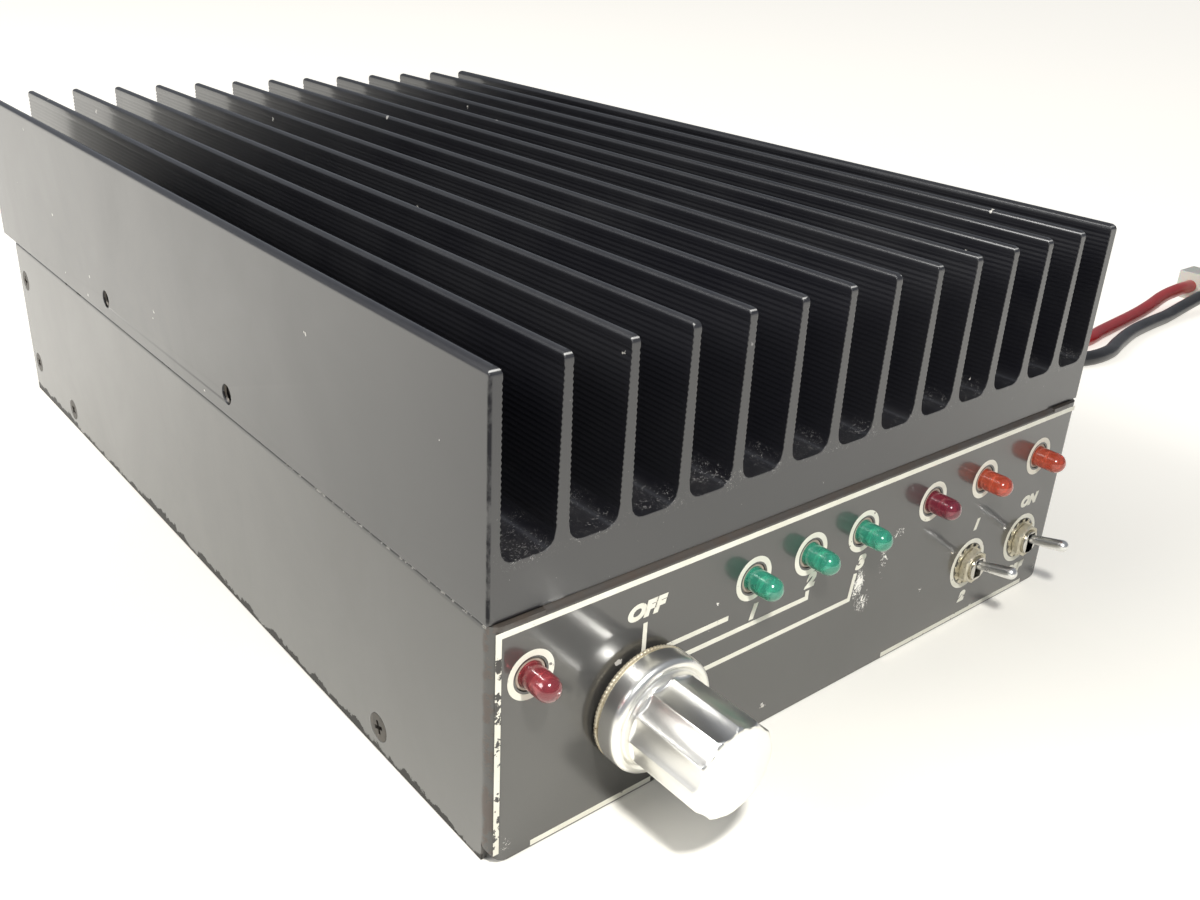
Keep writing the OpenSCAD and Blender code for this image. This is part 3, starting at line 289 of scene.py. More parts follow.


# Wear and painted light
# Where the wear and painted light are: a corner and the opposite corner of a box in millimetres, and how soft
# its faces are
zones = {
    "topBend": ((-88.5, -136.5, 50.3), (88.5, -130.0, 51.8), 0.5),
    "sideBend": ((-90.3, -136.5, 1.0), (-88.5, -133.5, 51.8), 0.6),
    "caseSide": ((-90.5, -134.5, 0.0), (-89.3, 136.5, 51.8), 0.1),
    "printEdge": ((-89.5, -137.0, 0.0), (-86.5, -135.0, 51.0), 0.6),
    "channelFloors": ((-89.0, -136.0, 61.2), (89.0, -122.0, 64.5), 1.2),
    "sinkFront": ((-90.5, -135.3, 52.0), (90.5, -134.5, 97.0), 0.3),
    "sinkCorner": ((-90.5, -135.3, 52.0), (-89.4, -134.6, 95.5), 0.2),
    "finTips": ((-91.0, -135.3, 95.6), (89.5, -134.6, 96.5), 0.2),
    "flanks": ((-89.4, -135.1, 64.5), (89.4, 148.0, 94.4), 0.1),
}
# Scuffs on the front panel: x, z, half width, half height and strength
panelScuffs = (
    (8.5, 25.0, 2.6, 5.5, 1.15), (10.5, 20.0, 3.6, 3.6, 1.0), (16.5, 29.0, 2.2, 5.0, 0.9),
    (20.5, 34.5, 3.0, 1.8, 0.85), (33.7, 14.9, 1.3, 1.1, 0.7), (-36.6, 36.8, 0.6, 0.6, 1.0),
    (-86.5, 3.5, 3.0, 3.0, 0.6), (86.0, 3.0, 3.0, 2.0, 0.5),
)
wearAndPaintedLightColours = {"bareMetal": (0.85, 0.83, 0.77), "bendReflection": (0.06, 0.047, 0.038), "darkFootAndSeamShade": (0.008, 0.007, 0.006),
               "fleck": (0.5, 0.48, 0.43), "flake": (0.13, 0.1, 0.085), "grit": (0.34, 0.33, 0.32),
               "glintTip": (0.9, 0.89, 0.86), "thinPrint": (0.05, 0.048, 0.045)}
ribs = {"top": 94.0, "pitch": 1.05, "relief": 11.0}  # the flanks' ridges, from the top one down
# The seam's painted shade is full towards the back and fades out towards the front between these
seamBackFrom, seamFrontTo = -0.045, -0.075  # the dark seam fades out between these


def zoneMask(vector, name):
    low, high, soft = zones[name]
    mask = 1.0
    for axis, place in zip(range(3), split(vector)):
        near, far, edge = low[axis] * mm, high[axis] * mm, soft * mm
        rise = remap(place, near - edge, near + edge, 0.0, 1.0, True)
        fall = remap(place, far - edge, far + edge, 1.0, 0.0, True)
        mask = calc("*", calc("*", rise, fall), mask)
    return mask


def patchy(vector, scale, detail, roughness, limit, distortion=0.0):
    return calc(">", noiseIn(vector, scale, detail, roughness, distortion), limit)


# Bright scuffs where the noise passes a limit that is lower near each place
def scuffMask(vector):
    coarse = remap(noiseIn(vector, 230.0, 4.0, 0.6), 0.35, 0.65, 0.0, 0.07)
    near = 0.0
    for x, z, wide, high, strength in panelScuffs:
        offset = vectorCalc("-", vector, (x * mm, frontY * mm, z * mm))
        away = vectorCalc("LENGTH", vectorCalc("*", offset, (1 / wide / mm, 0.5 / mm, 1 / high / mm)))
        near = calc("MAXIMUM", near, remap(away, 0.1, 1.5, strength, 0.0, True))
    limit = calc("-", calc("-", 0.78, calc("*", near, 0.25)), coarse)
    return calc("*", patchy(vector, 650.0, 7.0, 0.8, limit, 1.6), calc(">", near, 0.02))


# Scuffs on the front panel, flaked paint at its left bend, a brownish strip of painted reflection along the
# top bend, and on the left side a darker foot along the bottom edge, painted shade in a dark ragged seam with
# light flecks near the front, and ripples in the paint
def panelWearAndPaintedLight(vector, colour, roughness, height):
    scuff = scuffMask(vector)
    # Painted reflection: a lighter brownish strip along the top bend stands for the light the rounded fold
    # catches
    strip = remap(noiseIn(vector, 240.0, 6.0, 0.7), 0.38, 0.62, 0.35, 0.85)
    wornPrintAndBendReflection = calc("*", zoneMask(vector, "topBend"), strip)
    flaked = calc("*", zoneMask(vector, "sideBend"), patchy(vector, 330.0, 6.0, 0.7, 0.5))
    side = zoneMask(vector, "caseSide")
    place = split(vector)
    ragged = noiseIn(vector, 140.0, 6.0, 0.7)
    # Darker along the bottom edge of the side, and painted shade along the ragged seam under the heatsink
    foot = calc("<", place[2], remap(ragged, 0.3, 0.75, 0.0, 0.0042))
    seam = calc(">", place[2], remap(ragged, 0.3, 0.7, 0.05175, 0.0503))
    back = remap(place[1], seamFrontTo, seamBackFrom)
    darkFootAndSeamShade = calc("*", side, calc("MAXIMUM", calc("*", foot, 0.75), calc("*", seam, back)))
    upper = calc("*", side, calc(">", place[2], 0.0505))
    light = calc("*", calc("-", 1.0, back), patchy(vector, 420.0, 5.0, 0.7, 0.56))
    ripple = noiseIn(vectorCalc("*", vector, (1.0, 1.0, 0.45)), 75.0, 3.0, 0.5)
    flecks = calc("*", calc("*", upper, light), 0.6)
    layers = ((wornPrintAndBendReflection, "bendReflection"), (darkFootAndSeamShade, "darkFootAndSeamShade"), (flecks, "fleck"), (calc("*", flaked, 0.5), "flake"),
              (scuff, "bareMetal"))
    for mask, name in layers:
        colour = blendColour(mask, colour, wearAndPaintedLightColours[name])
    for mask, rougher in ((darkFootAndSeamShade, 0.4), (scuff, 0.3)):
        roughness = calc("+", roughness, calc("*", mask, rougher))
    height = calc("+", height, calc("*", ripple, 5.0))
    height = calc("-", height, calc("*", scuff, 0.8))
    dull = calc("MAXIMUM", calc("MAXIMUM", darkFootAndSeamShade, calc("*", flaked, 0.6)), wornPrintAndBendReflection)
    return colour, roughness, height, calc("-", 1.0, calc("*", dull, 0.9))


# Relief of the flanks' fine ridges, on the faces that look sideways
def ribHeight(vector):
    below = calc("-", split(vector)[2], ribs["top"] * mm)
    wave = calc("COSINE", calc("*", below, 2 * math.pi / (ribs["pitch"] * mm)))
    facing = split(treeOf(vector).nodes.new("ShaderNodeNewGeometry").outputs["True Normal"])[0]
    sideways = calc(">", calc("ABSOLUTE", facing), 0.8)
    where = calc("*", zoneMask(vector, "flanks"), sideways)
    return calc("*", calc("*", wave, ribs["relief"]), where)


# Dust and scrapes on the channel floors near the front, nicks along the fins' front edges, painted highlights
# on the fins' front tips, a dull line down the front left corner, and the fine ridges
def sinkWearAndGlints(vector, colour, roughness, height):
    cloud = remap(noiseIn(vector, 95.0, 3.0), 0.42, 0.62)
    scraped = calc("*", calc("*", zoneMask(vector, "channelFloors"), cloud),
                   patchy(vector, 1300.0, 6.0, 0.8, 0.6, 1.6))
    nick = calc("*", zoneMask(vector, "sinkFront"), patchy(vector, 520.0, 5.0, 0.75, 0.7))
    mask = calc("MAXIMUM", scraped, calc("*", nick, 0.5))
    # Painted highlight: light spots on the fins' front top corners stand for the glints there
    tipGlints = calc("*", zoneMask(vector, "finTips"), patchy(vector, 300.0, 3.0, 0.55, 0.42))
    line = calc("*", zoneMask(vector, "sinkCorner"),
                remap(noiseIn(vector, 260.0, 5.0, 0.7), 0.35, 0.55))
    colour = blendColour(mask, colour, wearAndPaintedLightColours["grit"])
    colour = blendColour(tipGlints, colour, wearAndPaintedLightColours["glintTip"])
    roughness = calc("+", roughness, calc("*", mask, 0.3))
    height = calc("-", calc("+", height, ribHeight(vector)), calc("*", mask, 0.5))
    return colour, roughness, height, calc("-", 1.0, calc("*", line, 0.85))


# Print that has worn through to the paint in places
def printWear(vector, colour, roughness, height):
    wornPrintAndBendReflection = patchy(vector, 420.0, 6.0, 0.72, 0.665)
    more = calc("*", zoneMask(vector, "printEdge"), patchy(vector, 200.0, 5.0, 0.7, 0.56))
    colour = blendColour(calc("MAXIMUM", wornPrintAndBendReflection, more), colour, wearAndPaintedLightColours["thinPrint"])
    return colour, roughness, height, None


# Finishes
# Each finish: two colours that vary in patches, then roughness, grain, bump and what else lies on it
looks = {
    "sinkAnodised": dict(colour=(0.005, 0.005, 0.0075), second=(0.008, 0.008, 0.01), rough=0.42,
        roughSpread=0.1, grain=2600, grainDepth=0.5, patch=22, dust=0.03, specks=0.008, speckScale=320,
        bump=0.1, bumpSize=0.0001, round=0.45,
        shader={"Specular IOR Level": 0.5, "Coat Weight": 0.9, "Coat Roughness": 0.13, "Coat IOR": 1.55}),
    "casePaint": dict(colour=(0.03, 0.029, 0.027), second=(0.038, 0.036, 0.033), rough=0.45,
        roughSpread=0.1, grain=1500, patch=26, dust=0.05, specks=0.012, speckScale=260, bump=0.1,
        bumpSize=0.0001,
        shader={"Specular IOR Level": 0.5, "Coat Weight": 1.0, "Coat Roughness": 0.11, "Coat IOR": 1.55}),
    "rearPaint": dict(colour=(0.028, 0.028, 0.027), second=(0.04, 0.038, 0.036), rough=0.42, grain=1500,
        patch=30, dust=0.14, specks=0.02, scratch=0.4, scratchScale=38, bump=0.12, bumpSize=0.0001,
        shader={"Specular IOR Level": 0.8, "Coat Weight": 0.5, "Coat Roughness": 0.25}),
    "blackScrew": dict(colour=(0.05, 0.047, 0.043), second=(0.11, 0.095, 0.08), rough=0.42, patch=500,
        grain=3000, bump=0.2, metal=0.7),
    "zincSteel": dict(colour=(0.58, 0.58, 0.57), second=(0.48, 0.47, 0.44), rough=0.3, patch=260,
        grain=2500, metal=1.0),
    "knobBright": dict(colour=(0.93, 0.92, 0.89), second=(0.87, 0.86, 0.82), rough=0.29, roughSpread=0.06,
        patch=130, grain=4000, stretch=(1, 0.12, 1), centre=(0.0555, 0, -0.0225), bump=0.12,
        bumpSize=8e-05, metal=1.0),
    "knobFace": dict(colour=(0.93, 0.92, 0.87), second=(0.88, 0.87, 0.81), rough=0.3, roughSpread=0.05,
        patch=90, grain=3000, centre=(0.0555, 0, -0.0225), rings=5200, bump=0.22, bumpSize=0.00012,
        metal=1.0, shader={"Anisotropic": 0.4}),
    "knobRim": dict(colour=(0.5, 0.43, 0.3), second=(0.62, 0.57, 0.45), rough=0.45, patch=300, grain=2500,
        bump=0.3, specks=0.1, speckScale=900, speckColour=(0.2, 0.14, 0.08), metal=0.6),
    "nickel": dict(colour=(0.72, 0.7, 0.66), second=(0.6, 0.57, 0.5), rough=0.24, patch=320, grain=2600,
        bump=0.12, specks=0.06, speckScale=900, speckColour=(0.36, 0.31, 0.22), metal=1.0),
    "chromeLever": dict(colour=(0.9, 0.9, 0.88), second=(0.82, 0.81, 0.78), rough=0.3, patch=240,
        grain=3000, bump=0.06, metal=1.0),
    "wornNut": dict(colour=(0.66, 0.62, 0.5), second=(0.5, 0.45, 0.33), rough=0.38, patch=600, grain=2600,
        bump=0.25, specks=0.16, speckScale=1200, speckColour=(0.22, 0.17, 0.1), metal=0.75),
    "switchCase": dict(colour=(0.03, 0.07, 0.19), second=(0.04, 0.09, 0.22), grain=1600, bump=0.1),
    "phenolic": dict(colour=(0.3, 0.16, 0.06), second=(0.22, 0.11, 0.045), rough=0.45, patch=120,
        grain=1600, bump=0.2),
    "goldPlate": dict(colour=(0.8, 0.57, 0.22), second=(0.7, 0.47, 0.18), rough=0.25, patch=300, bump=0.1,
        metal=1.0),
    "boardGreen": dict(colour=(0.03, 0.15, 0.06), second=(0.05, 0.2, 0.08), rough=0.35, patch=60,
        shader={"Coat Weight": 0.4}),
    "ceramic": dict(colour=(0.78, 0.75, 0.7), second=(0.7, 0.66, 0.58), patch=200, bump=0.1),
    "ferrite": dict(colour=(0.04, 0.04, 0.043), second=(0.06, 0.06, 0.063), rough=0.6, patch=200,
        grain=1500, bump=0.3),
    "enamelWire": dict(colour=(0.5, 0.19, 0.06), second=(0.4, 0.14, 0.04), rough=0.25, patch=200,
        grain=1400, stretch=(1, 1, 0.2), bump=0.5, metal=0.8, shader={"Coat Weight": 0.6}),
    "powderCore": dict(colour=(0.55, 0.36, 0.06), second=(0.45, 0.28, 0.05), rough=0.5, patch=200,
        bump=0.3),
    "canSleeve": dict(colour=(0.03, 0.06, 0.2), second=(0.04, 0.08, 0.25), rough=0.25, patch=90, bump=0.06,
        shader={"Coat Weight": 0.5}),
    "relayCase": dict(colour=(0.6, 0.5, 0.14), second=(0.66, 0.57, 0.2), rough=0.35, patch=90, bump=0.1),
    "terminalCase": dict(colour=(0.03, 0.03, 0.033), second=(0.045, 0.045, 0.048), rough=0.5),
    "blackRubber": dict(colour=(0.022, 0.022, 0.022), second=(0.034, 0.033, 0.031), rough=0.6, patch=150,
        grain=1800, bump=0.25, dust=0.12),
    "redVinyl": dict(colour=(0.62, 0.018, 0.02), second=(0.5, 0.012, 0.016), rough=0.34, patch=70,
        grain=1300, bump=0.12, dust=0.1, shader={"Coat Weight": 0.25, "Coat Roughness": 0.3}),
    "blackVinyl": dict(colour=(0.02, 0.02, 0.022), second=(0.03, 0.03, 0.032), rough=0.34, patch=70,
        grain=1300, bump=0.12, dust=0.1, shader={"Coat Weight": 0.25, "Coat Roughness": 0.3}),
    "nylon": dict(colour=(0.78, 0.78, 0.7), second=(0.72, 0.71, 0.62), patch=90, grain=1200, bump=0.12,
        shader={"Subsurface Weight": 0.25, "Subsurface Scale": 0.002}),
    "lampInner": dict(colour=(0.72, 0.68, 0.55), second=(0.6, 0.56, 0.42), rough=0.3, patch=800, bump=0.1,
        metal=0.85),
    "lampCollar": dict(colour=(0.46, 0.38, 0.31), second=(0.3, 0.25, 0.2), rough=0.5, patch=500,
        grain=2000, bump=0.3, specks=0.1, speckScale=900, speckColour=(0.1, 0.08, 0.06)),
}
wearAndPaintedLightOf = {"casePaint": panelWearAndPaintedLight, "sinkAnodised": sinkWearAndGlints}
finishes = {name: makeFinish(name, look, wearAndPaintedLightOf.get(name)) for name, look in looks.items()}
printLook = dict(colour=(0.78, 0.76, 0.67), second=(0.68, 0.66, 0.56), rough=0.5, patch=160, grain=1800,
                 bump=0.2, specks=0.05, speckScale=700, speckColour=(0.25, 0.23, 0.2))
finishes["creamPrint"] = makeFinish("creamPrint", printLook, printWear)


def lampFinish(name, colour, deep):
    glass = {"Transmission Weight": 0.7, "IOR": 1.5, "Coat Weight": 0.8, "Coat Roughness": 0.05}
    look = dict(colour=colour, second=deep, rough=0.16, roughSpread=0.04, patch=240, grain=1500, bump=0.04,
                shader=glass)
    return makeFinish(name, look)


lampColours = {
    "lampRed": ((0.5, 0.07, 0.09), (0.36, 0.045, 0.06)),
    "lampGreen": ((0.09, 0.62, 0.42), (0.05, 0.48, 0.32)),
    "lampDark": ((0.4, 0.04, 0.08), (0.3, 0.03, 0.06)),
    "lampOrange": ((0.9, 0.16, 0.08), (0.74, 0.11, 0.05)),
}
for lampName, (near, deep) in lampColours.items():
    finishes[lampName] = lampFinish(lampName, near, deep)
print("finishes made:", len(finishes))


# Mesh helpers
def cleaned(mesh, gap, merge=False):
    work = bmesh.new()
    work.from_mesh(mesh)
    bmesh.ops.remove_doubles(work, verts=work.verts, dist=gap)
    if merge:
        bmesh.ops.dissolve_limit(work, angle_limit=math.radians(0.6), verts=work.verts, edges=work.edges)
    else:
        bmesh.ops.recalc_face_normals(work, faces=work.faces)
    work.to_mesh(mesh)
    work.free()
    return mesh


def addObject(name, mesh):
    piece = bpy.data.objects.new(name, mesh)
    scene.collection.objects.link(piece)
    return piece


def meshFrom(name, points, faces, angle=35):
    mesh = bpy.data.meshes.new(name)
    mesh.from_pydata([tuple(Vector(p) * mm) for p in points], [], faces)
    mesh.validate()
    cleaned(mesh, 1e-7)
    mesh.shade_smooth()
    mesh.set_sharp_from_angle(angle=math.radians(angle))
    return mesh


def settle(piece, finish, body, slotName, *nodes):
    piece.data.materials.clear()
    piece.data.materials.append(finishes[finish])
    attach(piece, body)
    if nodes:
        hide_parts(*nodes)
    return piece


def applied(piece):
    graph = bpy.context.evaluated_depsgraph_get()
    mesh = bpy.data.meshes.new_from_object(piece.evaluated_get(graph))
    piece.modifiers.clear()
    piece.data = mesh
    return piece


# A CAD node's own solid, merged, with its edges broken and its round faces smooth
def dress(node, finish, edge=0.0, angle=35, steps=2):
    mesh = cleaned(frame["nodes"][node].data.copy(), 2e-6, merge=True)
    mesh.shade_smooth()
    piece = addObject(node + "Skin", mesh)
    if edge:
        bevel = piece.modifiers.new("edges", "BEVEL")
        bevel.width = edge * mm
        bevel.segments = steps
        bevel.limit_method = "ANGLE"
        bevel.angle_limit = math.radians(40)
        bevel.use_clamp_overlap = True
        applied(piece)
    piece.data.set_sharp_from_angle(angle=math.radians(angle))
    weighted = piece.modifiers.new("normals", "WEIGHTED_NORMAL")
    weighted.keep_sharp = True
    applied(piece)
    return settle(piece, finish, bodyOf[node], slotOf[node], node)


# Rings round an axis: each ring is (radius, distance along), and shape may change the radius at an angle
def turned(name, rings, place, axis=(0, -1, 0), segments=64, shape=None, closed=False, angle=35):
    along = Vector(axis).normalized()
    side = Vector((1, 0, 0)) if abs(along.x) < 0.9 else Vector((0, 0, 1))
    up = along.cross(side).normalized()
    side = up.cross(along).normalized()
    points, faces = [], []
    for radius, reach in rings:
        for k in range(segments):
            phi = 2 * math.pi * k / segments
            r = shape(phi, radius, reach) if shape else radius
            points.append(Vector(place) + along * reach + (side * math.cos(phi) + up * math.sin(phi)) * r)
    count = len(rings)
    for j in range(count if closed else count - 1):
        a, b = j * segments, ((j + 1) % count) * segments
        for k in range(segments):
            n = (k + 1) % segments
            faces.append((a + k, a + n, b + n, b + k))
    if not closed:
        faces.append(tuple(range(segments)))
        last = (count - 1) * segments
        faces.append(tuple(last + k for k in reversed(range(segments))))
    return addObject(name, meshFrom(name, points, faces, angle))


def joined(name, pieces):
    work = bmesh.new()
    for piece in pieces:
        work.from_mesh(piece.data)
        bpy.data.objects.remove(piece)
    mesh = bpy.data.meshes.new(name)
    work.to_mesh(mesh)
    work.free()
    mesh.shade_smooth()
    mesh.set_sharp_from_angle(angle=math.radians(35))
    return addObject(name, mesh)


# Copies along a row or round an axis, made with geometry nodes
def shapeTree(name, *wanted):
    tree = bpy.data.node_groups.new(name, "GeometryNodeTree")
    for label, kind in (("Geometry", "Geometry"), *wanted, ("Finish", "Material")):
        tree.interface.new_socket(name=label, in_out="INPUT", socket_type="NodeSocket" + kind)
    tree.interface.new_socket(name="Geometry", in_out="OUTPUT", socket_type="NodeSocketGeometry")
    return tree, tree.nodes.new("NodeGroupInput")


def finishTree(tree, given, copies):
    real = addNode(tree, "GeometryNodeRealizeInstances", None, Geometry=copies.outputs[0])
    shown = addNode(tree, "GeometryNodeSetMaterial", None, Geometry=real.outputs[0],
                    Material=given.outputs["Finish"])
    feed(tree.nodes.new("NodeGroupOutput").inputs[0], shown.outputs[0])
    return tree


def copiesTree(name, round_):
    tree, given = shapeTree(name, ("Count", "Int"), ("Step", "Vector"), ("Start", "Vector"))
    still = (0.0, 0.0, 0.0)
    line = addNode(tree, "GeometryNodeMeshLine", None, Count=given.outputs["Count"],
                   Start_Location=given.outputs["Start"], Offset=still if round_ else given.outputs["Step"])
    copies = addNode(tree, "GeometryNodeInstanceOnPoints", None, Points=line.outputs[0],
                     Instance=given.outputs["Geometry"])
    if round_:
        index = tree.nodes.new("GeometryNodeInputIndex").outputs[0]
        turn = addNode(tree, "ShaderNodeVectorMath", {"operation": "SCALE"}, i0=given.outputs["Step"],
                       Scale=index)
        feed(copies.inputs["Rotation"], turn.outputs[0])
    return finishTree(tree, given, copies)


rowTree, roundTree = copiesTree("rowOfCopies", False), copiesTree("ringOfCopies", True)


def copied(piece, tree, count, step, start, finish):
    modifier = piece.modifiers.new("copies", "NODES")
    modifier.node_group = tree
    values = {"Count": count, "Step": step, "Start": tuple(Vector(start) * mm), "Finish": finishes[finish]}
    for item in tree.interface.items_tree:
        if item.in_out == "INPUT" and item.name in values:
            modifier[item.identifier] = values[item.name]
    return applied(piece)


def inRow(piece, count, step, start, finish):
    return copied(piece, rowTree, count, tuple(Vector(step) * mm), start, finish)


def inRing(piece, count, turn, start, finish):
    return copied(piece, roundTree, count, turn, start, finish)


# Screws or other small pieces set at many places, each turned its own way
def placesTree():
    tree, given = shapeTree("setAtPlaces", ("Part", "Object"))
    part = addNode(tree, "GeometryNodeObjectInfo", None, Object=given.outputs["Part"])
    turn = addNode(tree, "GeometryNodeInputNamedAttribute", {"data_type": "FLOAT_VECTOR"}, Name="turn")
    copies = addNode(tree, "GeometryNodeInstanceOnPoints", None, Points=given.outputs["Geometry"],
                     Instance=part.outputs["Geometry"], Rotation=turn.outputs[0])
    return finishTree(tree, given, copies)


setTree = placesTree()


def setAt(name, part, places, finish):
    mesh = bpy.data.meshes.new(name)
    mesh.from_pydata([tuple(Vector(place) * mm) for place, turn in places], [], [])
    turns = mesh.attributes.new("turn", "FLOAT_VECTOR", "POINT")
    for item, (place, turn) in zip(turns.data, places):
        item.vector = [math.radians(a) for a in turn]
    piece = addObject(name, mesh)
    modifier = piece.modifiers.new("places", "NODES")
    modifier.node_group = setTree
    for item in setTree.interface.items_tree:
        if item.in_out == "INPUT" and item.name in ("Part", "Finish"):
            modifier[item.identifier] = part if item.name == "Part" else finishes[finish]
    applied(piece)
    bpy.data.objects.remove(part)
    return piece


# Supply cords
cords = {
    "diameter": 6.0,
    "black": [(66, 149.8, 24), (66, 164, 24), (67, 180, 20), (71, 195, 12), (80, 207, 5), (94, 215, 3),
              (111, 216, 3), (127, 209, 3), (140, 196, 3), (150, 180, 3), (158, 162, 3), (165, 143, 3),
              (172, 124, 3), (179, 105, 3), (185, 86, 3), (191, 67, 3), (197, 48, 3), (203, 29, 3),
              (209, 10, 3), (216, -9, 3), (225, -27, 3), (237, -42, 3), (252, -53, 3), (270, -56, 3),
              (288, -52, 3), (306, -48, 3), (324, -46, 3), (342, -45, 3), (361, -44, 4.5), (377, -44, 6.5),
              (392, -44, 6.5)],
    "red": [(50, 149.8, 24), (50, 164, 24), (50, 181, 21), (53, 197, 14), (61, 212, 7), (74, 223, 3),
            (92, 229, 3), (111, 229, 3), (129, 222, 3), (144, 210, 3), (156, 195, 3), (166, 178, 3),
            (174, 160, 3), (181, 141, 3), (187, 122, 3), (193, 103, 3), (199, 84, 3), (205, 65, 3),
            (211, 46, 3), (217, 27, 3), (224, 8, 3), (232, -10, 3), (243, -26, 3), (258, -37, 3),
            (277, -42, 3), (295, -40, 3), (313, -38, 3), (332, -36, 3.2), (350, -34, 4.2), (366, -32, 5.6),
            (379, -32, 6.5), (392, -32, 6.5)],
}


def makeCord(name, route, finish, node):
    data = bpy.data.curves.new(name, "CURVE")
    data.dimensions = "3D"
    data.bevel_depth = cords["diameter"] / 2 * mm
    data.bevel_resolution = 5
    data.resolution_u = 4
    data.use_fill_caps = True
    spline = data.splines.new("BEZIER")
    spline.bezier_points.add(len(route) - 1)
    for point, place in zip(spline.bezier_points, route):
        point.co = Vector(place) * mm
        point.handle_left_type = point.handle_right_type = "AUTO"
    piece = addObject(name, data)
    data.materials.append(finishes[finish])
    bpy.context.view_layer.update()
    for point in spline.bezier_points:
        point.handle_left_type = point.handle_right_type = "FREE"
        for handle in (point.handle_left, point.handle_right):  # no handle below a cord that lies flat
            handle.z = max(handle.z, cords["diameter"] / 2 * mm)
    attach(piece, "chassis")
    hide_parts(node)
    return piece


plug = dress("supply_connector", "nylon", 0.5, steps=3)
makeCord("blackCord", cords["black"], "blackVinyl", "black_cord")
makeCord("redCord", cords["red"], "redVinyl", "red_cord")
print("cords laid")


# Heatsink and case
dress("heatsink", "sinkAnodised", 0.0, 40)
dress("case_wrap", "casePaint", 0.14)
dress("rear_panel", "rearPaint", 0.14)
dress("bottom_cover", "rearPaint", 0.14)
bracket = {"height": 56.75, "middle": 6.25, "span": 79.0, "radius": 2.4, "depth": 13.0, "pitch": 0.8}
ringsMade = []
for side in (-1, 1):
    for end in (-1, 1):
        mouth = (side * 90.0, bracket["middle"] + end * bracket["span"] / 2, bracket["height"])
        ridge = turned("ridge", [(2.42, 0.0), (2.05, 0.36), (2.05, 0.44), (2.42, 0.8)], (0, 0, 0),
                       (-side, 0, 0), 40, closed=True)
        inRow(ridge, 15, (-side * bracket["pitch"], 0, 0), (mouth[0] - side * 0.5, mouth[1], mouth[2]),
              "blackScrew")
        ringsMade.append(ridge)
settle(joined("bracketThreads", ringsMade), "blackScrew", "chassis", "sink_black")


# A countersunk screw head with its cross recess, looking along +X
def crossScrew(name, headRadius, headHeight, dome, shankLength):
    recess = {"arm": headRadius * 0.5, "half": headRadius * 0.14, "deep": 0.9}
    steps = 48
    angles = [2 * math.pi * k / steps for k in range(steps)]
    rings = [(1.45, -shankLength), (1.5, -headHeight - 0.1), (headRadius - 0.12, -0.12), (headRadius, -0.02),
             (headRadius - 0.1, dome * 0.25), (headRadius * 0.62, dome)]
    points = [(level, radius * math.cos(phi), radius * math.sin(phi))
              for radius, level in rings for phi in angles]
    faces = []

    def crossRadius(phi):
        c, s = abs(math.cos(phi)), abs(math.sin(phi))
        if s < c:
            c, s = s, c
        return min(recess["arm"] / s, recess["half"] / max(c, 1e-6)) if s > 0 else recess["arm"]

    for level, shrink in ((dome, 1.0), (dome - recess["deep"], 0.72)):
        for phi in angles:
            r = crossRadius(phi) * shrink
            points.append((level, r * math.cos(phi), r * math.sin(phi)))
    count = len(rings) + 2
    for j in range(count - 1):
        for k in range(steps):
            n = (k + 1) % steps
            faces.append((j * steps + k, j * steps + n, (j + 1) * steps + n, (j + 1) * steps + k))
    faces.append(tuple(reversed(range(steps))))
    faces.append(tuple((count - 1) * steps + k for k in range(steps)))
    return addObject(name, meshFrom(name, points, faces, 30))


screwPlaces = []
for side in (-1, 1):
    heading = 0 if side > 0 else 180
    for k, y in enumerate((-96.5, 96.5)):
        screwPlaces.append(((side * case["halfWidth"], y, 6.2), (20 + 37 * k, 0, heading)))
    for k, z in enumerate((11.3, 39.5)):
        screwPlaces.append(((side * case["halfWidth"], 130.3, z), (55 + 30 * k, 0, heading)))
settle(setAt("sideScrews", crossScrew("screwShape", 3.1, 1.7, 0.0, 5.4), screwPlaces, "blackScrew"),
       "blackScrew", "chassis", "screw_black", "side_screws")
print("case done")


# Printed marks on the front
printing = {"thick": 0.05, "line": 1.1, "border": 1.2, "y": frontY - 0.004, "bolder": 0.3, "wider": 1.2}
marks = []


def flatPiece(name, outline):
    y, thick = printing["y"], printing["thick"]
    n = len(outline)
    points = [(x, y, z) for x, z in outline] + [(x, y - thick, z) for x, z in outline]
    faces = [tuple(range(n)), tuple(n + k for k in reversed(range(n)))]
    faces += [(k, n + k, n + (k + 1) % n, (k + 1) % n) for k in range(n)]
    return addObject(name, meshFrom(name, points, faces, 20))


# A printed line with mitred bends
def printedLine(route, width):
    left, right = [], []
    for k, point in enumerate(route):
        here = Vector(point)
        before = (here - Vector(route[k - 1])).normalized() if k else None
        after = (Vector(route[k + 1]) - here).normalized() if k < len(route) - 1 else None
        heading = ((before or after) + (after or before)).normalized()
        normal = Vector((-heading.y, heading.x))
        stretch = 1 / max(0.3, heading.dot(after or before))
        left.append(here + normal * width / 2 * stretch)
        right.append(here - normal * width / 2 * stretch)
    marks.append(flatPiece("mark", [tuple(p) for p in left + right[::-1]]))


def printedRing(x, z, outer, inner):
    band = [(outer, 0), (outer, printing["thick"]), (inner, printing["thick"]), (inner, 0)]
    marks.append(turned("mark", band, (x, printing["y"], z), (0, -1, 0), 72, closed=True))


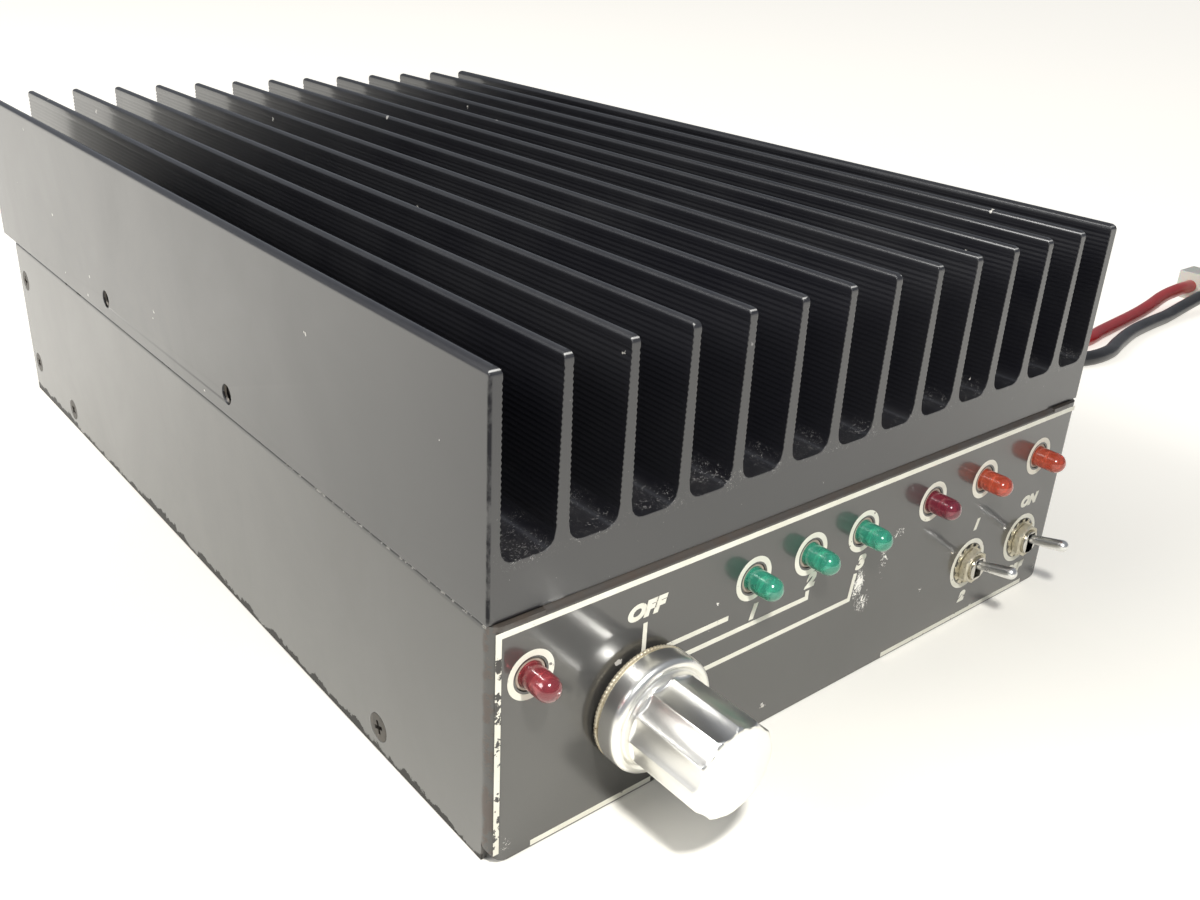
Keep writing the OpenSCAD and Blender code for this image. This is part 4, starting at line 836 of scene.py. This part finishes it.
def printedWord(text, x, z, height, slant=0.25):
    data = bpy.data.curves.new("word", "FONT")
    data.body = text
    data.size = height * 1.38 * mm
    data.shear = slant
    data.offset = printing["bolder"] * mm
    data.extrude = printing["thick"] / 2 * mm
    data.align_x, data.align_y = "CENTER", "CENTER"
    word = addObject("word", data)
    graph = bpy.context.evaluated_depsgraph_get()
    mesh = bpy.data.meshes.new_from_object(word.evaluated_get(graph))
    bpy.data.objects.remove(word)
    mesh.transform(Matrix.Translation(Vector((x, printing["y"] - printing["thick"] / 2, z)) * mm)
                   @ Matrix.Rotation(math.radians(90), 4, "X")
                   @ Matrix.Diagonal((printing["wider"], 1, 1, 1)))
    marks.append(addObject("mark", cleaned(mesh, 1e-7)))


lampXs = (-81.5, -26.9, -9.9, 7.2, 31.9, 52.5, 75.7)
lampZ = 39.2
toggleXs = (52.4, 75.4)
toggleZ = 16.0
printedLine([(-88.3, 2.6), (-88.3, 49.45), (88.4, 49.45)], printing["border"])
printedLine([(-80.6, 1.1), (-51.0, 1.1)], printing["border"])
printedLine([(22.0, 1.1), (81.0, 1.1)], printing["border"])
printedLine([(-55.6, 31.0), (-55.6, 39.8)], 1.0)
printedLine([(-51.6, 27.9), (-49.3, 32.3), (-33.2, 32.3)], printing["line"])
printedLine([(-46.4, 28.3), (-9.4, 28.3), (-9.4, 30.1)], printing["line"])
printedLine([(-43.6, 22.4), (5.6, 22.4), (6.6, 28.8)], printing["line"])
for x in lampXs:
    printedRing(x, lampZ, 4.95, 3.75)
for x in toggleXs:
    printedRing(x, toggleZ, 6.75, 5.55)
printedWord("OFF", -55.9, 42.6, 3.0)
for number, x, z in (("1", -26.3, 31.0), ("2", -9.0, 32.4), ("3", 7.6, 31.2)):
    printedWord(number, x, z, 3.2)
printedWord("ON", 75.8, 26.6, 2.6)
printedWord("OFF", 75.8, 6.2, 2.6)
printedWord("1", 52.8, 26.6, 2.6)
printedWord("2", 52.8, 6.2, 2.6)
settle(joined("frontPrint", marks), "creamPrint", "chassis", "case_black")
print("front printed")


# Selector knob
knob = {"place": (-55.5, frontY - 0.8, 22.5), "collar": 12.2, "grip": 9.7, "length": 24.8,
        "collarLength": 6.2, "flutes": 12, "fluteRadius": 8.0, "fluteDepth": 0.7}


def fluted(phi, radius, reach):
    start = knob["collarLength"] + 1.1
    if reach < start:
        return radius
    pitch = 2 * math.pi / knob["flutes"]
    offset = (phi - math.pi / 2) % pitch - pitch / 2
    centre = knob["grip"] - knob["fluteDepth"] + knob["fluteRadius"]
    inside = knob["fluteRadius"] ** 2 - (centre * math.sin(offset)) ** 2
    cut = centre * math.cos(offset) - math.sqrt(inside) if inside > 0 else radius
    return min(radius, cut + (knob["grip"] - cut) * max(0.0, 1 - (reach - start) / 0.5) ** 2)


grip, collar, length, low = knob["grip"], knob["collar"], knob["length"], knob["collarLength"]
knobRings = [(8.0, 2.6), (8.0, 0.0), (collar - 0.9, 0.0), (collar - 0.75, 0.2), (collar - 0.75, 1.25),
             (collar - 0.15, 1.4), (collar, 1.6), (collar, 2.6), (collar, low - 1.9)]
knobRings += [(collar - 1.4 * (1 - math.cos(a)), low - 1.4 + 1.4 * math.sin(a))
              for a in (math.radians(15 * k) for k in range(1, 6))]
knobRings += [(collar - 1.45, low - 0.01), (grip + 0.45, low - 0.3), (grip + 0.1, low - 0.12),
              (grip, low + 0.1)]
knobRings += [(grip, low + 1.1 + 0.1 * k) for k in range(6)]
knobRings += [(grip, low + 2.0), (grip, length - 1.0), (grip - 0.07, length - 0.75),
              (grip - 0.28, length - 0.45), (grip - 0.55, length - 0.2), (grip - 0.9, length - 0.05),
              (grip - 1.3, length)]
body = turned("knobBody", knobRings, knob["place"], (0, -1, 0), 288, fluted, angle=28)
settle(body, "knobBright", "selector", "knob_metal", "power_knob")
body.data.materials.append(finishes["knobFace"])
for part in body.data.polygons:
    spot = part.center - Vector(knob["place"]) * mm
    if -spot.y > (length - 0.25) * mm or (abs(part.normal.y) > 0.8 and 0.5 * low < -spot.y / mm < low + 0.2):
        part.material_index = 1


# Fine straight knurl round the skirt's back edge
def knurled(phi, radius, reach):
    return radius - 0.14 * (0.5 + 0.5 * math.cos(phi * 90))


rim = turned("knobKnurl", [(11.3, 0.06), (11.95, 0.06), (12.18, 0.2), (12.18, 0.7), (12.05, 0.82),
                           (11.3, 0.86)], knob["place"], (0, -1, 0), 720, lambda phi, r,
             h: knurled(phi, r, h) if r > 11.5 else r, closed=True, angle=60)
settle(rim, "knobRim", "selector", "knob_metal")
print("knob done")


# Indicator lamps
lamp = {"radius": 2.5, "reach": 7.2, "body": 8.6, "rim": 2.9}
lampNodes = (("protection_lamp", "lampRed"), ("level_lamp_low", "lampGreen"),
             ("level_lamp_middle", "lampGreen"), ("level_lamp_high", "lampGreen"),
             ("transmit_lamp", "lampDark"), ("mode_lamp", "lampOrange"), ("preamp_lamp", "lampOrange"))
for (node, finish), x in zip(lampNodes, lampXs):
    base = (x, frontY - lamp["reach"] + lamp["body"], lampZ)
    straight = lamp["body"] - lamp["radius"]
    rings = [(0.3, 0.0), (lamp["rim"], 0.0), (lamp["rim"], 0.9), (lamp["rim"] - 0.08, 1.0),
             (lamp["radius"] + 0.05, 1.05), (lamp["radius"], 1.3), (lamp["radius"], straight)]
    rings += [(lamp["radius"] * math.cos(a), straight + lamp["radius"] * math.sin(a))
              for a in (math.radians(10 * k) for k in range(1, 9))] + [(0.06, lamp["body"])]
    lens = turned(node + "Lens", rings, base, (0, -1, 0), 48, angle=60)
    settle(lens, finish, "chassis", slotOf[node], node)
    cup = turned("cup", [(0.5, 0.4), (0.55, 2.6), (1.1, 3.6), (1.15, 3.7), (0.95, 3.7), (0.4, 3.1),
                         (0.02, 3.1)],
                 (x - 0.35, base[1], lampZ), (0, -1, 0), 24)
    post = turned("post", [(0.28, 0.4), (0.28, 3.3), (0.02, 3.4)], (x + 1.25, base[1], lampZ), (0, -1, 0), 12)
    settle(joined(node + "Cup", [cup, post]), "lampInner", "chassis", "screw_steel")
    collar = turned(node + "Collar", [(2.56, 0.0), (3.22, 0.0), (3.22, 0.95), (3.05, 1.15), (2.7, 1.15),
                                      (2.56, 1.0)],
                    (x, frontY + 1.3, lampZ), (0, -1, 0), 48, closed=True)
    settle(collar, "lampCollar", "chassis", "screw_steel")
print("lamps done")


# Toggle switches
toggle = {"pivotY": frontY + 1.5, "lean": 12.5, "length": 15.0, "neck": 1.15, "tip": 1.5, "nut": 8.0}


def hexagon(phi, radius, reach):
    sector = (phi + math.pi / 6) % (math.pi / 3) - math.pi / 6
    return min(radius, toggle["nut"] / 2 / math.cos(sector))


def chamferedNut(name, x, node):
    flat, corner = toggle["nut"] / 2, toggle["nut"] / 2 / math.cos(math.pi / 6)
    place = (x, frontY - 0.6, toggleZ)
    rings = [(3.06, 0.0), (flat * 0.99, 0.0), (corner, 0.3), (corner, 1.65), (flat * 0.97, 2.0), (3.4, 2.0),
             (3.06, 1.75)]
    piece = turned(name, rings, place, (0, -1, 0), 96, hexagon, closed=True, angle=25)
    settle(piece, "wornNut", "chassis", slotOf[node], node)


def toothedWasher(name, x, node):
    place = Vector((x, frontY, toggleZ))
    ring = turned("ring", [(3.1, 0.05), (4.6, 0.05), (4.6, 0.5), (3.1, 0.5)], place, (0, -1, 0), 60,
                  closed=True)
    spread = [(4.4, -0.62, 0.02), (5.3, -0.62, 0.02), (5.3, 0.62, 0.3), (4.4, 0.62, 0.3)]
    points = [(r, -h, w) for r, w, h in spread] + [(r, -h - 0.28, w) for r, w, h in spread]
    faces = [(0, 1, 2, 3), (7, 6, 5, 4), (0, 4, 5, 1), (1, 5, 6, 2), (2, 6, 7, 3), (3, 7, 4, 0)]
    tooth = addObject("tooth", meshFrom("tooth", points, faces, 20))
    inRing(tooth, 12, (0, math.radians(30), 0), place, "wornNut")
    settle(joined(name, [ring, tooth]), "wornNut", "chassis", slotOf[node], node)


def toggleLever(name, x, node):
    lean = math.radians(toggle["lean"])
    axis = (0, -math.cos(lean), math.sin(lean))
    end, straight = toggle["tip"], toggle["length"] - toggle["tip"]
    rings = [(0.02, -2.6), (0.9, -2.55), (0.9, -1.1)]
    rings += [(1.32 * math.cos(a), 1.32 * math.sin(a)) for a in (math.radians(d) for d in range(-45, 31, 15))]
    rings += [(toggle["neck"], 1.4), (toggle["neck"], 5.5), (toggle["neck"] + 0.12, 8.0),
              (end - 0.08, straight - 2.5), (end, straight - 0.6), (end, straight)]
    rings += [(end * math.cos(a), straight + end * math.sin(a))
              for a in (math.radians(12 * k) for k in range(1, 7))]
    rings += [(0.12, straight + end)]
    piece = turned(name, rings, (x, toggle["pivotY"], toggleZ), axis, 48, angle=50)
    settle(piece, "chromeLever", bodyOf[node], slotOf[node], node)


for label, x in zip(("mode", "preamp"), toggleXs):
    dress(label + "_switch", "nickel", 0.12)
    chamferedNut(label + "Nut", x, label + "_nut")
    toothedWasher(label + "Washer", x, label + "_washer")
    toggleLever(label + "Lever", x, label + "_lever")
print("switches done")


# Rear panel
rear = {"socketXs": (-64.0, -20.0), "socketZ": 26.0, "flange": 1.6, "screwSpan": 18.3,
        "bushXs": (50.0, 66.0), "cordZ": 24.0}
for node in ("input_socket", "output_socket"):
    dress(node, "nickel", 0.12)
dress("socket_contacts", "goldPlate")
threads = []
for x in rear["socketXs"]:
    crest = turned("crest", [(7.8, 0.0), (8.1, 0.3), (8.1, 0.45), (7.8, 0.75)], (0, 0, 0), (0, 1, 0), 64,
                   closed=True)
    inRow(crest, 10, (0, 1.0, 0), (x, backY + rear["flange"] + 1, rear["socketZ"]), "nickel")
    threads.append(crest)
settle(joined("socketThreads", threads), "nickel", "chassis", slotOf["input_socket"])
corner = rear["screwSpan"] / 2
corners = [((x + sx * corner, backY + rear["flange"], rear["socketZ"] + sz * corner),
            (25 * sx + 40 * sz, 0, 90))
           for x in rear["socketXs"] for sx in (-1, 1) for sz in (-1, 1)]
settle(setAt("socketScrews", crossScrew("screwShape", 2.8, 0.1, 2.1, 6.0), corners, "zincSteel"),
       "zincSteel", "chassis", "screw_steel", "socket_screws")
dress("control_jack", "nickel", 0.15)
dress("ground_stud", "zincSteel", 0.15)
dress("ground_wing_nut", "nickel", 0.3)
bushes = []
for x in rear["bushXs"]:
    rings = [(5.4, -3.1), (7.0, -3.1), (7.0, -1.25), (5.5, -1.2), (5.5, 0.0), (7.5, 0.0), (7.5, 2.2),
             (7.2, 2.4), (6.0, 2.4)]
    for k in range(6):
        reach = 3.0 + 1.75 * k
        radius = 5.9 - 0.36 * k
        rings += [(radius, reach), (radius, reach + 1.0), (radius - 0.9, reach + 1.15),
                  (radius - 0.95, reach + 1.6)]
    rings += [(3.8, 13.2), (3.75, 13.8)]
    bushes.append(turned("bush", rings, (x, backY, rear["cordZ"]), (0, 1, 0), 48, angle=30))
settle(joined("cordBushes", bushes), "blackRubber", "chassis", "rubber_black", "cord_bushes")

inner = {
    "heatsink_screws": "zincSteel", "rear_flange_screws": "zincSteel", "knob_grub_screw": "blackScrew",
    "selector_shaft": "zincSteel", "selector_switch": "phenolic", "selector_nut": "nickel",
    "selector_washer": "nickel", "selector_tags": "goldPlate", "lamp_leads": "zincSteel",
    "lamp_board": "boardGreen", "lamp_board_pillars": "zincSteel", "toggle_tags": "goldPlate",
    "power_board": "boardGreen", "filter_board": "boardGreen", "board_pillars": "zincSteel",
    "board_screws": "zincSteel", "rf_transistors": "ceramic", "transistor_screws": "zincSteel",
    "output_transformer": "ferrite", "input_transformer": "ferrite", "supply_choke": "enamelWire",
    "capacitors": "canSleeve", "filter_toroids": "powderCore", "relays": "relayCase",
    "thermal_switch": "nickel", "supply_terminals": "terminalCase",
}
for node, finish in inner.items():
    dress(node, finish)
print("rear and inside done")


# Table, lamps and backdrop
studio = {
    "table": 25.0, "tableColour": (0.84, 0.82, 0.76), "world": 0.3, "worldColour": (0.85, 0.9, 1.0, 1.0),
    "paintedShadeGlow": 0.04, "farGlow": 0.7, "glowColour": (1.0, 0.96, 0.88), "paintedShadeCentre": (-0.05, -0.15, 0.0),
}


def makeTable(look):
    half = look["table"]
    mesh = bpy.data.meshes.new("table")
    mesh.from_pydata([(-half, -half, 0), (half, -half, 0), (half, half * 2, 0), (-half, half * 2, 0)], [],
                     [(0, 1, 2, 3)])
    table = addObject("table", mesh)
    material = bpy.data.materials.new("tableCloth")
    material.use_nodes = True
    tree = material.node_tree
    shader = tree.nodes["Principled BSDF"]
    shader.inputs["Roughness"].default_value = 0.9
    shader.inputs["Specular IOR Level"].default_value = 0.1
    feed(shader.inputs["Base Color"], look["tableColour"])
    path = tree.nodes.new("ShaderNodeLightPath")
    seen = calc("MAXIMUM", path.outputs["Is Camera Ray"],
                calc("MAXIMUM", path.outputs["Is Glossy Ray"], path.outputs["Is Transmission Ray"]))
    feed(shader.inputs["Emission Color"], look["glowColour"])
    place = tree.nodes.new("ShaderNodeTexCoord").outputs["Object"]
    # Painted shade on the floor: its glow is dimmed near the knob's shadow and rises to full white further
    # off
    away = vectorCalc("DISTANCE", place, look["paintedShadeCentre"])
    glow = remap(away, 0.04, 0.36, look["paintedShadeGlow"], look["farGlow"], True)
    feed(shader.inputs["Emission Strength"], calc("*", seen, glow))
    mesh.materials.append(material)


def makeLight(name, place, target, size, power, colour):
    data = bpy.data.lights.new(name, "AREA")
    data.shape = "RECTANGLE"
    data.size, data.size_y = size
    data.energy = power
    data.color = colour
    light = bpy.data.objects.new(name, data)
    scene.collection.objects.link(light)
    light.location = place
    light.rotation_euler = (Vector(target) - Vector(place)).to_track_quat("-Z", "Y").to_euler()


def makeWorld(look):
    world = bpy.data.worlds.new("studio")
    scene.world = world
    world.use_nodes = True
    sky = world.node_tree.nodes["Background"]
    sky.inputs[0].default_value = look["worldColour"]
    sky.inputs[1].default_value = look["world"]


makeTable(studio)
makeWorld(studio)
makeLight("windowLight", (-1.6, 0.5, 1.1), (0, 0, 0.03), (1.0, 0.8), 27, (1.0, 0.99, 0.96))
makeLight("frontLight", (-0.11, -0.26, 0.238), (0, -0.13, 0.02), (0.025, 0.025), 0.85, (1.0, 0.99, 0.96))
print("studio lit")
